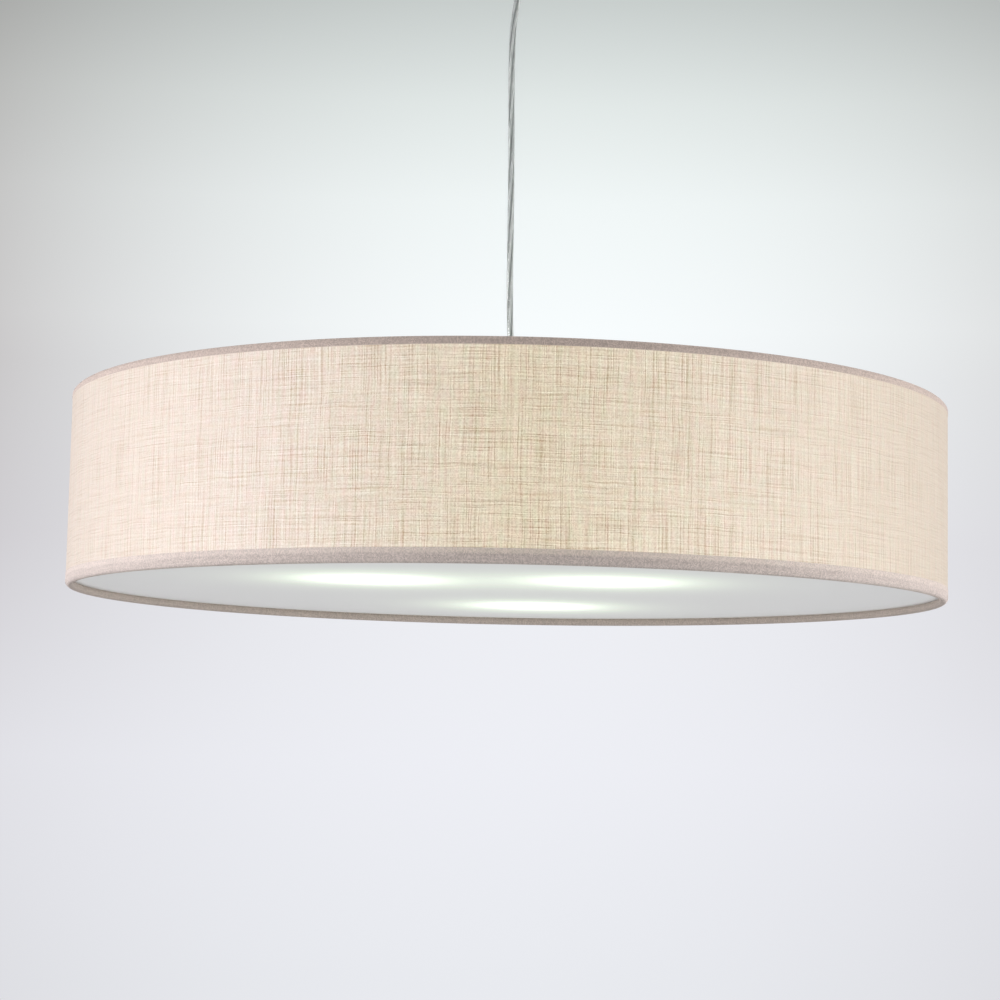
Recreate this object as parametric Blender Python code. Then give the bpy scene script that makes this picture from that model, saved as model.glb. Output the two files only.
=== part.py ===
"""A drum pendant light: fabric shade, opal diffuser, three lamps, cord and ceiling canopy.

Metres, +Z up. The origin is the centre of the ceiling bracket's top face, so the ceiling is z = 0 and
everything hangs below it.
"""

from math import cos, pi, radians, sin

import bmesh
import bpy
from mathutils import Vector

# Gaps and allowances that every piece shares.
GAP = 0.0003
WELD = 1e-6
CUT_OVERRUN = 0.002
SHARP_DEGREES = 35.0

# Counts of flat sides on round pieces.
SHADE_STEPS = 60
ROUND_STEPS = 20
SMALL_STEPS = 16
WIRE_STEPS = 8
CANOPY_STEPS = 32
GLOBE_ARC_STEPS = 5

# Shade.
SHADE_DIAMETER = 0.800
SHADE_HEIGHT = 0.175
SHADE_TOP_DROP = 0.453
FABRIC_THICKNESS = 0.0008
LINER_THICKNESS = 0.0005
RING_WIRE_RADIUS = 0.0025
HEM_CLEARANCE = 0.0004
TOP_WRAP_DEGREES = 200.0
TOP_WRAP_STEPS = 4
BOTTOM_WRAP_DEGREES = 260.0
BOTTOM_WRAP_STEPS = 6

# Diffuser.
DIFFUSER_THICKNESS = 0.003
DIFFUSER_CLEARANCE = 0.001
DIFFUSER_EDGE = 0.0005

# Cord and its cores.
CORD_DIAMETER = 0.006
CORE_DIAMETER = 0.0023
CORE_SPREAD = 0.0030
CORE_ANGLES = (60.0, 180.0, 300.0)
CORD_POINT_SPACING = 0.015
# The cord's own route between its two grips, as (x, y, z) places chosen along its slight bow.
CORD_ROUTE = (
    (-0.0027, 0.0, -0.075),
    (-0.0042, 0.0, -0.095),
    (-0.0046, 0.0, -0.125),
    (-0.0042, 0.0, -0.160),
    (-0.0035, 0.0, -0.200),
    (-0.0029, 0.0, -0.245),
    (-0.0026, 0.0, -0.290),
    (-0.0023, 0.0, -0.335),
    (-0.0014, 0.0, -0.370),
)

# Ceiling bracket.
BRACKET_WIDTH = 0.022
BRACKET_THICKNESS = 0.002
BRACKET_BEND = 0.003
BRACKET_BEND_STEPS = 3
BRACKET_REACH_CLEARANCE = 0.003
EAR_DROP = 0.018
SIDE_SCREW_DROP = 0.010
CEILING_SLOT_SPACING = 0.056
CEILING_SLOT_LENGTH = 0.014
CEILING_SLOT_WIDTH = 0.0046

# Canopy.
CANOPY_DIAMETER = 0.100
CANOPY_HEIGHT = 0.035
CANOPY_WALL = 0.001
CANOPY_CORNER = 0.006
CANOPY_CORNER_STEPS = 4
CANOPY_RIM_DROP = 0.0005
SIDE_SCREW_RADIUS = 0.0019
SIDE_SCREW_SLOT_CLEARANCE = 0.0006
SIDE_SCREW_HEAD_RADIUS = 0.0045
SIDE_SCREW_HEAD_LENGTH = 0.004
SIDE_SCREW_INSIDE = 0.004

# Threads, nuts and grips.
THREAD_RADIUS = 0.005
NUT_ACROSS_FLATS = 0.014
NUT_HEIGHT = 0.003
THREAD_PROUD = 0.0015
WASHER_RADIUS = 0.009
WASHER_THICKNESS = 0.001
GRIP_RADIUS = 0.008
CANOPY_GRIP_LENGTH = 0.020
HUB_GRIP_LENGTH = 0.024
GRIP_EDGE = 0.001
MOUTH_RADIUS = 0.0065
MOUTH_DEPTH = 0.006
PIVOT_DEPTH = 0.003
SOCKET_DEPTH = 0.008
GRUB_SCREW_RADIUS = 0.0019
GRUB_SCREW_DEPTH = 0.011
TAIL_PROUD = 0.002

# Spider that carries the shade.
SPIDER_PLATE_RADIUS = 0.022
SPIDER_PLATE_THICKNESS = 0.0025
SPIDER_PLATE_DEPTH = 0.0225
SPIDER_WIRE_RADIUS = 0.0025
SPIDER_ARM_START = 0.012
SPIDER_ARM_FLAT = 0.030
SPIDER_ARM_SEAT = 0.012
SPIDER_AZIMUTHS = (30.0, 150.0, 270.0)
STEM_LENGTH = 0.118
STEM_BORE_CLEARANCE = 0.00045

# Lamp body.
CAN_RADIUS = 0.042
CAN_HEIGHT = 0.036
CAN_WALL = 0.001
CAN_CORNER = 0.003
CAN_CORNER_STEPS = 3
COVER_THICKNESS = 0.0012
COVER_SKIRT = 0.008
BLOCK_WIDTH = 0.016
BLOCK_LENGTH = 0.024
BLOCK_HEIGHT = 0.010
BLOCK_EDGE = 0.001

# Lamp arms, measured outwards from the stem's axis.
LAMP_AXIS_HEIGHT = 0.090
LAMP_AZIMUTHS = (-131.0, -62.0, 81.0)
ARM_TUBE_LENGTH = 0.0566
GLOBE_RADIUS = 0.030
GLOBE_WALL = 0.0008
GLOBE_SHOULDER_DEGREES = 30.0
# How the glass widens from neck to shoulder: (share of the widening, share of the way) at each place.
GLOBE_NECK_SHARES = ((0.0, 0.0), (0.06, 0.25), (0.48, 0.60), (0.72, 0.80))
BULB_LENGTH = 0.108
CAP_LENGTH = 0.025
CAP_RADIUS = 0.0132
CAP_TIP_RADIUS = 0.0045
CAP_SHOULDER = 0.0045
NECK_RADIUS = 0.0130
INSERT_WALL = 0.0005
INSERT_LENGTH = 0.0265
INSERT_HOLE_RADIUS = 0.005
CONTACT_RADIUS = 0.0025
CONTACT_TAIL = 0.006
HOLDER_RADIUS = 0.0195
HOLDER_BACK_RADIUS = 0.0165
HOLDER_WALL_LIP = 0.007
HOLDER_BASE = 0.0060
HOLDER_SOCKET = 0.008
HOLDER_SHOULDER = 0.010
ARM_INSIDE_CAN = 0.004
LEAD_RADIUS = 0.0021
LEAD_START = 0.008
LEAD_BEND = 0.010
LEAD_POINTS = 9
CORE_POINTS = 6

# Heights that follow from the sizes above.
CORD_RADIUS = CORD_DIAMETER / 2
CORE_RADIUS = CORE_DIAMETER / 2
CORE_OFFSET = (CORE_RADIUS + GAP / 2) / sin(pi / 3)
THREAD_HOLE = THREAD_RADIUS + GAP
CORD_BORE = CORD_RADIUS + GAP
STEM_BORE = CORD_RADIUS + STEM_BORE_CLEARANCE
SHADE_RADIUS = SHADE_DIAMETER / 2
SHADE_TOP = -SHADE_TOP_DROP
SHADE_BOTTOM = SHADE_TOP - SHADE_HEIGHT
HEM_INNER = RING_WIRE_RADIUS + HEM_CLEARANCE
HEM_OUTER = HEM_INNER + FABRIC_THICKNESS
RING_RADIUS = SHADE_RADIUS - HEM_OUTER
TOP_RING_Z = SHADE_TOP - HEM_OUTER
BOTTOM_RING_Z = SHADE_BOTTOM + HEM_OUTER
LINER_OUTER = SHADE_RADIUS - FABRIC_THICKNESS - GAP
LINER_INNER = LINER_OUTER - LINER_THICKNESS

CANOPY_RADIUS = CANOPY_DIAMETER / 2
BRACKET_REACH = CANOPY_RADIUS - CANOPY_WALL - BRACKET_REACH_CLEARANCE
CANOPY_TOP = -CANOPY_RIM_DROP
CANOPY_BOTTOM = CANOPY_TOP - CANOPY_HEIGHT
CANOPY_FLOOR = CANOPY_BOTTOM + CANOPY_WALL
CANOPY_GRIP_TOP = CANOPY_BOTTOM - GAP
CANOPY_GRIP_BOTTOM = CANOPY_GRIP_TOP - CANOPY_GRIP_LENGTH
CANOPY_NECK_TOP = CANOPY_FLOOR + GAP + NUT_HEIGHT + THREAD_PROUD
UPPER_PIVOT = CANOPY_GRIP_BOTTOM + PIVOT_DEPTH
UPPER_TAIL_TOP = CANOPY_NECK_TOP + TAIL_PROUD
CORD_TOP = UPPER_PIVOT - CORD_RADIUS - GAP

LAMP_Z = SHADE_BOTTOM + LAMP_AXIS_HEIGHT
CAN_TOP = LAMP_Z + CAN_HEIGHT / 2
CAN_BOTTOM = LAMP_Z - CAN_HEIGHT / 2
STEM_BOTTOM = CAN_TOP - CAN_WALL - GAP - NUT_HEIGHT - THREAD_PROUD
STEM_TOP = STEM_BOTTOM + STEM_LENGTH
HUB_GRIP_BOTTOM = STEM_TOP + GAP - SOCKET_DEPTH
HUB_GRIP_TOP = HUB_GRIP_BOTTOM + HUB_GRIP_LENGTH
LOWER_PIVOT = HUB_GRIP_TOP - PIVOT_DEPTH
LOWER_TAIL_BOTTOM = STEM_BOTTOM - TAIL_PROUD
CORD_BOTTOM = LOWER_PIVOT + CORD_RADIUS + GAP

SPIDER_PLATE_TOP = SHADE_TOP - SPIDER_PLATE_DEPTH
SPIDER_PLATE_BOTTOM = SPIDER_PLATE_TOP - SPIDER_PLATE_THICKNESS
ARM_LOW_Z = SPIDER_PLATE_TOP + GAP + SPIDER_WIRE_RADIUS
ARM_HIGH_Z = TOP_RING_Z - RING_WIRE_RADIUS - GAP - SPIDER_WIRE_RADIUS
ARM_END = LINER_INNER - 2 * GAP

COVER_TOP = CAN_BOTTOM - GAP
BODY_BLOCK_BOTTOM = COVER_TOP + GAP
BODY_BLOCK_TOP = BODY_BLOCK_BOTTOM + BLOCK_HEIGHT
CEILING_BLOCK_TOP = -BRACKET_THICKNESS - GAP
CEILING_BLOCK_BOTTOM = CEILING_BLOCK_TOP - BLOCK_HEIGHT

ARM_BACK = CAN_RADIUS - CAN_WALL - ARM_INSIDE_CAN
ARM_FRONT = ARM_BACK + ARM_TUBE_LENGTH
SOCKET_FLOOR = ARM_FRONT + GAP
HOLDER_BACK = SOCKET_FLOOR - HOLDER_SOCKET
HOLDER_FLOOR = SOCKET_FLOOR + HOLDER_BASE
INSERT_BACK = HOLDER_FLOOR + GAP
INSERT_FRONT = INSERT_BACK + INSERT_LENGTH
INSERT_INNER = CAP_RADIUS + GAP
INSERT_OUTER = INSERT_INNER + INSERT_WALL
HOLDER_CAVITY = INSERT_OUTER + GAP
HOLDER_FRONT = INSERT_FRONT + HOLDER_WALL_LIP
CAP_FRONT = INSERT_FRONT + GAP
BULB_BACK = CAP_FRONT - CAP_LENGTH
LAMP_REACH = BULB_BACK + BULB_LENGTH - GLOBE_RADIUS
CONTACT_FRONT = BULB_BACK - GAP
CONTACT_BACK = HOLDER_FLOOR - CONTACT_TAIL
LEAD_END = CONTACT_BACK - GAP


def clear_scene():
    for old in list(bpy.data.objects):
        bpy.data.objects.remove(old, do_unlink=True)


def surface(name, colour, roughness, metallic=0.0, alpha=1.0):
    """A Principled material."""
    made = bpy.data.materials.new(name)
    made.use_nodes = True
    shader = made.node_tree.nodes["Principled BSDF"]
    shader.inputs["Base Color"].default_value = (*colour, 1.0)
    shader.inputs["Roughness"].default_value = roughness
    shader.inputs["Metallic"].default_value = metallic
    shader.inputs["Alpha"].default_value = alpha
    made.diffuse_color = (*colour, alpha)
    return made


def body_frame(name, parent, location):
    """An empty on a joint's axis, which the pieces of one moving body hang from."""
    empty = bpy.data.objects.new(name, None)
    bpy.context.scene.collection.objects.link(empty)
    empty.location = location
    attach(empty, parent)
    return empty


def attach(obj, parent):
    """Parents obj and leaves it where it is."""
    if parent is None:
        return
    bpy.context.view_layer.update()
    obj.parent = parent
    obj.matrix_parent_inverse = parent.matrix_world.inverted()


def add_object(name, data, look, body, location=(0, 0, 0), rotation=(0, 0, 0)):
    obj = bpy.data.objects.new(name, data)
    bpy.context.scene.collection.objects.link(obj)
    obj.location = location
    obj.rotation_euler = rotation
    if look is not None:
        data.materials.append(look)
    attach(obj, body)
    return obj


def mesh_from(name, bm):
    bmesh.ops.recalc_face_normals(bm, faces=bm.faces)
    mesh = bpy.data.meshes.new(name)
    bm.to_mesh(mesh)
    bm.free()
    mesh.shade_smooth()
    mesh.set_sharp_from_angle(angle=radians(SHARP_DEGREES))
    return mesh


def turned_mesh(name, profile, steps):
    """A profile of (radius, height) points turned about Z. One that starts and ends on the axis is left open there."""
    bm = bmesh.new()
    points = [bm.verts.new((radius, 0, height)) for radius, height in profile]
    pairs = list(zip(points, points[1:]))
    if profile[0][0] > 0 or profile[-1][0] > 0:
        pairs.append((points[-1], points[0]))
    edges = [bm.edges.new(pair) for pair in pairs]
    bmesh.ops.spin(
        bm,
        geom=points + edges,
        cent=(0, 0, 0),
        axis=(0, 0, 1),
        angle=2 * pi,
        steps=steps,
        use_merge=True,
    )
    bmesh.ops.remove_doubles(bm, verts=bm.verts, dist=WELD)
    return mesh_from(name, bm)


def turned(name, profile, steps, look, body, location=(0, 0, 0), rotation=(0, 0, 0)):
    return add_object(name, turned_mesh(name, profile, steps), look, body, location, rotation)


def rod_profile(radius, low, high, bore=0.0):
    """A round bar, or a tube where it has a bore."""
    if bore > 0:
        return [(bore, low), (radius, low), (radius, high), (bore, high)]
    return [(0, low), (radius, low), (radius, high), (0, high)]


def box(name, low, high, look, body, edge=0.0):
    """A block between two corners, with bevelled edges where edge is set."""
    low, high = Vector(low), Vector(high)
    bm = bmesh.new()
    bmesh.ops.create_cube(bm, size=1)
    bmesh.ops.scale(bm, vec=high - low, verts=bm.verts)
    obj = add_object(name, mesh_from(name, bm), look, body, (low + high) / 2)
    if edge > 0:
        soften(obj, edge)
    return obj


def soften(obj, width, segments=1):
    bevel = obj.modifiers.new("soft_edges", "BEVEL")
    bevel.width = width
    bevel.segments = segments
    bevel.limit_method = "ANGLE"


def cutter(obj):
    obj.hide_render = True
    obj.display_type = "WIRE"
    return obj


def cut(obj, tool):
    """Takes the tool's shape out of obj."""
    boolean = obj.modifiers.new("cut_" + tool.name, "BOOLEAN")
    boolean.operation = "DIFFERENCE"
    boolean.solver = "EXACT"
    boolean.object = tool


def round_cutter(name, radius, low, high, location, rotation=(0, 0, 0)):
    return cutter(turned(name, rod_profile(radius, low, high), SMALL_STEPS, None, None, location, rotation))


def box_cutter(name, low, high):
    return cutter(box(name, low, high, None, None))


def wire(name, points, radius, look, body, resolution=2):
    """A round wire or cord along a list of points, closed at both ends."""
    curve = bpy.data.curves.new(name, "CURVE")
    curve.dimensions = "3D"
    curve.bevel_depth = radius
    curve.bevel_resolution = resolution
    curve.use_fill_caps = True
    spline = curve.splines.new("POLY")
    spline.points.add(len(points) - 1)
    for place, point in zip(spline.points, points):
        place.co = (*point, 1)
    return add_object(name, curve, look, body)


def bezier(start, start_pull, end_pull, end, count):
    """Points along one cubic curve."""
    start, start_pull, end_pull, end = (Vector(p) for p in (start, start_pull, end_pull, end))
    points = []
    for i in range(count):
        t = i / (count - 1)
        u = 1 - t
        points.append(u**3 * start + 3 * u * u * t * start_pull + 3 * u * t * t * end_pull + t**3 * end)
    return points


def smooth_through(route, spacing):
    """Points about one spacing apart on a smooth curve through the route's points."""
    route = [Vector(point) for point in route]
    padded = [2 * route[0] - route[1], *route, 2 * route[-1] - route[-2]]
    points = [route[0]]
    for before, a, b, after in zip(padded, padded[1:], padded[2:], padded[3:]):
        pieces = max(1, round((b - a).length / spacing))
        for i in range(1, pieces + 1):
            t = i / pieces
            points.append(
                0.5
                * (
                    2 * a
                    + (b - before) * t
                    + (2 * before - 5 * a + 4 * b - after) * t**2
                    + (3 * a - before - 3 * b + after) * t**3
                )
            )
    return points


def arc(centre_r, centre_z, radius, start, end, steps):
    """Points on an arc in the (radius, height) plane, with angles in degrees from straight outwards."""
    points = []
    for i in range(steps + 1):
        angle = radians(start + (end - start) * i / steps)
        points.append((centre_r + radius * cos(angle), centre_z + radius * sin(angle)))
    return points


def outwards(azimuth):
    """The rotation that lays a piece turned about Z along a level line at this azimuth."""
    return (0, pi / 2, radians(azimuth))


def level_point(azimuth, reach, height):
    return (reach * cos(radians(azimuth)), reach * sin(radians(azimuth)), height)


# Looks.
def make_looks():
    return {
        "fabric": surface("shade_fabric", (0.73, 0.66, 0.55), 0.9),
        "film": surface("liner_film", (0.9, 0.89, 0.86), 0.6),
        "opal": surface("opal_acrylic", (0.86, 0.87, 0.85), 0.35),
        "white_metal": surface("white_metal", (0.82, 0.82, 0.8), 0.4),
        "steel": surface("plated_steel", (0.55, 0.56, 0.57), 0.35, 1.0),
        "wire": surface("white_wire", (0.75, 0.75, 0.73), 0.45),
        "clear": surface("clear_jacket", (0.62, 0.62, 0.6), 0.2, 0.0, 0.6),
        "grip": surface("white_plastic", (0.85, 0.85, 0.83), 0.4),
        "block": surface("terminal_plastic", (0.8, 0.8, 0.76), 0.45),
        "holder": surface("lampholder_plastic", (0.82, 0.81, 0.78), 0.4),
        "brass": surface("contact_brass", (0.7, 0.52, 0.24), 0.3, 1.0),
        "cap": surface("cap_aluminium", (0.6, 0.6, 0.61), 0.3, 1.0),
        "glass": surface("opal_glass", (0.95, 0.94, 0.9), 0.2),
        "brown": surface("core_brown", (0.24, 0.12, 0.06), 0.45),
        "blue": surface("core_blue", (0.07, 0.18, 0.5), 0.45),
        "green": surface("core_green", (0.25, 0.5, 0.1), 0.45),
    }


def make_nut(name, low, look, body):
    """A thin hexagon nut with a clear hole, its underside at the height low."""
    bm = bmesh.new()
    corner_radius = NUT_ACROSS_FLATS / 2 / cos(pi / 6)
    made = bmesh.ops.create_circle(bm, cap_ends=True, radius=corner_radius, segments=6)
    raised = bmesh.ops.extrude_face_region(bm, geom=list(made["verts"][0].link_faces))
    lifted = [item for item in raised["geom"] if isinstance(item, bmesh.types.BMVert)]
    bmesh.ops.translate(bm, vec=(0, 0, NUT_HEIGHT), verts=lifted)
    nut = add_object(name, mesh_from(name, bm), look, body, (0, 0, low))
    hole = round_cutter(name + "_hole", THREAD_HOLE, -CUT_OVERRUN, NUT_HEIGHT + CUT_OVERRUN, (0, 0, low))
    cut(nut, hole)
    return nut


# Ceiling end.
def bracket_outline():
    """The bent strip's edge in the XZ plane: a flat top with an ear turned down at each end."""
    inner_bend = BRACKET_BEND - BRACKET_THICKNESS
    bend_x, bend_z = BRACKET_REACH - BRACKET_BEND, -BRACKET_BEND
    outer = arc(bend_x, bend_z, BRACKET_BEND, 90, 0, BRACKET_BEND_STEPS)
    inner = arc(bend_x, bend_z, inner_bend, 0, 90, BRACKET_BEND_STEPS)
    right = [*outer, (BRACKET_REACH, -EAR_DROP), (BRACKET_REACH - BRACKET_THICKNESS, -EAR_DROP), *inner]
    left = [(-x, z) for x, z in reversed(right)]
    return right + left


def make_bracket(looks, body):
    bm = bmesh.new()
    half = BRACKET_WIDTH / 2
    edge = [bm.verts.new((x, -half, z)) for x, z in bracket_outline()]
    face = bm.faces.new(edge)
    raised = bmesh.ops.extrude_face_region(bm, geom=[face])
    lifted = [item for item in raised["geom"] if isinstance(item, bmesh.types.BMVert)]
    bmesh.ops.translate(bm, vec=(0, BRACKET_WIDTH, 0), verts=lifted)
    bracket = add_object("ceiling_bracket", mesh_from("ceiling_bracket", bm), looks["steel"], body)
    half_slot = Vector((CEILING_SLOT_LENGTH / 2, CEILING_SLOT_WIDTH / 2, BRACKET_THICKNESS + CUT_OVERRUN))
    for side, word in ((-1, "left"), (1, "right")):
        centre = Vector((side * CEILING_SLOT_SPACING / 2, 0, 0))
        cut(bracket, box_cutter("ceiling_slot_" + word, centre - half_slot, centre + half_slot))
        low, high = BRACKET_REACH - BRACKET_THICKNESS - CUT_OVERRUN, BRACKET_REACH + CUT_OVERRUN
        turn = (0, side * pi / 2, 0)
        hole = round_cutter(
            "ear_hole_" + word, SIDE_SCREW_RADIUS + GAP, low, high, (0, 0, -SIDE_SCREW_DROP), turn
        )
        cut(bracket, hole)


def make_side_screw(word, side, looks, body):
    """A knurled screw whose shank passes the canopy's slot and the bracket's ear."""
    under_head = CANOPY_RADIUS + GAP
    tip = BRACKET_REACH - BRACKET_THICKNESS - SIDE_SCREW_INSIDE
    profile = [
        (0, tip),
        (SIDE_SCREW_RADIUS, tip),
        (SIDE_SCREW_RADIUS, under_head),
        (SIDE_SCREW_HEAD_RADIUS, under_head),
        (SIDE_SCREW_HEAD_RADIUS, under_head + SIDE_SCREW_HEAD_LENGTH),
        (0, under_head + SIDE_SCREW_HEAD_LENGTH),
    ]
    turn = (0, side * pi / 2, 0)
    turned("canopy_screw_" + word, profile, SMALL_STEPS, looks["steel"], body, (0, 0, -SIDE_SCREW_DROP), turn)


def make_block(name, low_z, looks, body):
    half = Vector((BLOCK_WIDTH / 2, BLOCK_LENGTH / 2, 0))
    low = Vector((0, 0, low_z)) - half
    high = Vector((0, 0, low_z + BLOCK_HEIGHT)) + half
    box(name, low, high, looks["block"], body, BLOCK_EDGE)


def make_canopy(looks, body):
    inner_corner = CANOPY_CORNER - CANOPY_WALL
    corner_r, corner_z = CANOPY_RADIUS - CANOPY_CORNER, CANOPY_BOTTOM + CANOPY_CORNER
    profile = [
        (THREAD_HOLE, CANOPY_FLOOR),
        (THREAD_HOLE, CANOPY_BOTTOM),
        *arc(corner_r, corner_z, CANOPY_CORNER, -90, 0, CANOPY_CORNER_STEPS),
        (CANOPY_RADIUS, CANOPY_TOP),
        (CANOPY_RADIUS - CANOPY_WALL, CANOPY_TOP),
        *arc(corner_r, corner_z, inner_corner, 0, -90, CANOPY_CORNER_STEPS),
    ]
    canopy = turned("canopy", profile, CANOPY_STEPS, looks["white_metal"], body)
    half_width = SIDE_SCREW_RADIUS + SIDE_SCREW_SLOT_CLEARANCE
    slot_bottom = -SIDE_SCREW_DROP - half_width
    for side, word in ((-1, "left"), (1, "right")):
        ends = sorted(
            (side * (CANOPY_RADIUS - CANOPY_WALL - CUT_OVERRUN), side * (CANOPY_RADIUS + CUT_OVERRUN))
        )
        low = (ends[0], -half_width, slot_bottom)
        high = (ends[1], half_width, CANOPY_TOP + CUT_OVERRUN)
        cut(canopy, box_cutter("canopy_slot_" + word, low, high))


def make_canopy_grip(looks, body):
    """The cord grip under the canopy: a threaded neck through the canopy's hole, and a mouth that opens downwards."""
    cone_top = CANOPY_GRIP_BOTTOM + MOUTH_DEPTH
    profile = [
        (CORD_BORE, CANOPY_NECK_TOP),
        (CORD_BORE, cone_top),
        (MOUTH_RADIUS, CANOPY_GRIP_BOTTOM),
        (GRIP_RADIUS - GRIP_EDGE, CANOPY_GRIP_BOTTOM),
        (GRIP_RADIUS, CANOPY_GRIP_BOTTOM + GRIP_EDGE),
        (GRIP_RADIUS, CANOPY_GRIP_TOP),
        (THREAD_RADIUS, CANOPY_GRIP_TOP),
        (THREAD_RADIUS, CANOPY_NECK_TOP),
    ]
    grip = turned("canopy_grip", profile, ROUND_STEPS, looks["grip"], body)
    make_nut("canopy_grip_nut", CANOPY_FLOOR + GAP, looks["steel"], body)
    make_grub_screw("canopy_grip_screw", grip, CANOPY_GRIP_BOTTOM + GRUB_SCREW_DEPTH, looks, body)


def make_hub_grip(looks, body):
    """The cord grip on top of the stem: a socket for the stem, and a mouth that opens upwards."""
    socket_top = HUB_GRIP_BOTTOM + SOCKET_DEPTH
    profile = [
        (THREAD_HOLE, HUB_GRIP_BOTTOM),
        (GRIP_RADIUS, HUB_GRIP_BOTTOM),
        (GRIP_RADIUS, HUB_GRIP_TOP - GRIP_EDGE),
        (GRIP_RADIUS - GRIP_EDGE, HUB_GRIP_TOP),
        (MOUTH_RADIUS, HUB_GRIP_TOP),
        (CORD_BORE, HUB_GRIP_TOP - MOUTH_DEPTH),
        (CORD_BORE, socket_top),
        (THREAD_HOLE, socket_top),
    ]
    grip = turned("hub_grip", profile, ROUND_STEPS, looks["grip"], body)
    make_grub_screw("hub_grip_screw", grip, HUB_GRIP_TOP - GRUB_SCREW_DEPTH, looks, body)


def make_grub_screw(name, grip, height, looks, body):
    """A small screw through the back of a grip, its tip against the cord."""
    turn = outwards(90)
    hole = round_cutter(
        name + "_hole", GRUB_SCREW_RADIUS + GAP, 0, GRIP_RADIUS + CUT_OVERRUN, (0, 0, height), turn
    )
    cut(grip, hole)
    profile = rod_profile(GRUB_SCREW_RADIUS, CORD_BORE, GRIP_RADIUS)
    turned(name, profile, SMALL_STEPS, looks["steel"], body, (0, 0, height), turn)


def make_bend(name, height, looks, body):
    """The short stretch of cord that bends at a grip, round so that it clears both ends at every angle."""
    bm = bmesh.new()
    bmesh.ops.create_uvsphere(bm, u_segments=SMALL_STEPS, v_segments=WIRE_STEPS, radius=CORD_RADIUS)
    add_object(name, mesh_from(name, bm), looks["clear"], body, (0, 0, height))


def make_cores(prefix, start_z, end_z, looks, body):
    """Three insulated cores that leave the cord's end side by side and spread on their way to a terminal block."""
    rise = (end_z - start_z) / 2
    for angle, word, colour in zip(CORE_ANGLES, ("live", "neutral", "earth"), ("brown", "blue", "green")):
        start = Vector(level_point(angle, CORE_OFFSET, start_z))
        end = Vector(level_point(angle, CORE_SPREAD, end_z))
        lift = Vector((0, 0, rise))
        wire(
            prefix + word,
            bezier(start, start + lift, end - lift, end, CORE_POINTS),
            CORE_RADIUS,
            looks[colour],
            body,
        )


def make_tail(name, low, high, looks, body):
    """The stretch of cord that a grip holds."""
    turned(name, rod_profile(CORD_RADIUS, low, high), SMALL_STEPS, looks["clear"], body)


def make_cord(looks, body):
    ends = (0, 0, CORD_TOP), (0, 0, CORD_BOTTOM)
    route = [ends[0], *CORD_ROUTE, ends[1]]
    wire("cord", smooth_through(route, CORD_POINT_SPACING), CORD_RADIUS, looks["clear"], body)


# Shade.
def fabric_profile():
    """One piece of cloth from hem to hem, folded over the top wire and round the bottom one."""
    bottom_end, top_end = -BOTTOM_WRAP_DEGREES, TOP_WRAP_DEGREES
    return [
        *arc(RING_RADIUS, BOTTOM_RING_Z, HEM_OUTER, 0, bottom_end, BOTTOM_WRAP_STEPS),
        *arc(RING_RADIUS, BOTTOM_RING_Z, HEM_INNER, bottom_end, 0, BOTTOM_WRAP_STEPS),
        *arc(RING_RADIUS, TOP_RING_Z, HEM_INNER, 0, top_end, TOP_WRAP_STEPS),
        *arc(RING_RADIUS, TOP_RING_Z, HEM_OUTER, top_end, 0, TOP_WRAP_STEPS),
    ]


def hem_seat():
    """The height of the lower hem's top, which the diffuser rests on."""
    fold = arc(RING_RADIUS, BOTTOM_RING_Z, HEM_OUTER, 0, -BOTTOM_WRAP_DEGREES, BOTTOM_WRAP_STEPS)
    return max(height for _, height in fold)


def make_shade(looks, body):
    turned("shade_fabric", fabric_profile(), SHADE_STEPS, looks["fabric"], body)
    low = BOTTOM_RING_Z + RING_WIRE_RADIUS + GAP
    high = TOP_RING_Z - RING_WIRE_RADIUS - GAP
    liner = rod_profile(LINER_OUTER, low, high, LINER_INNER)
    turned("shade_liner", liner, SHADE_STEPS, looks["film"], body)
    for name, height in (("top_ring", TOP_RING_Z), ("bottom_ring", BOTTOM_RING_Z)):
        section = arc(RING_RADIUS, height, RING_WIRE_RADIUS, 0, 360, WIRE_STEPS)[:-1]
        turned(name, section, SHADE_STEPS, looks["wire"], body)


def make_diffuser(looks, body):
    low = hem_seat() + GAP
    high = low + DIFFUSER_THICKNESS
    radius = LINER_INNER - DIFFUSER_CLEARANCE
    profile = [
        (0, low),
        (radius - DIFFUSER_EDGE, low),
        (radius, low + DIFFUSER_EDGE),
        (radius, high - DIFFUSER_EDGE),
        (radius - DIFFUSER_EDGE, high),
        (0, high),
    ]
    turned("diffuser", profile, SHADE_STEPS, looks["opal"], body)


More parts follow.
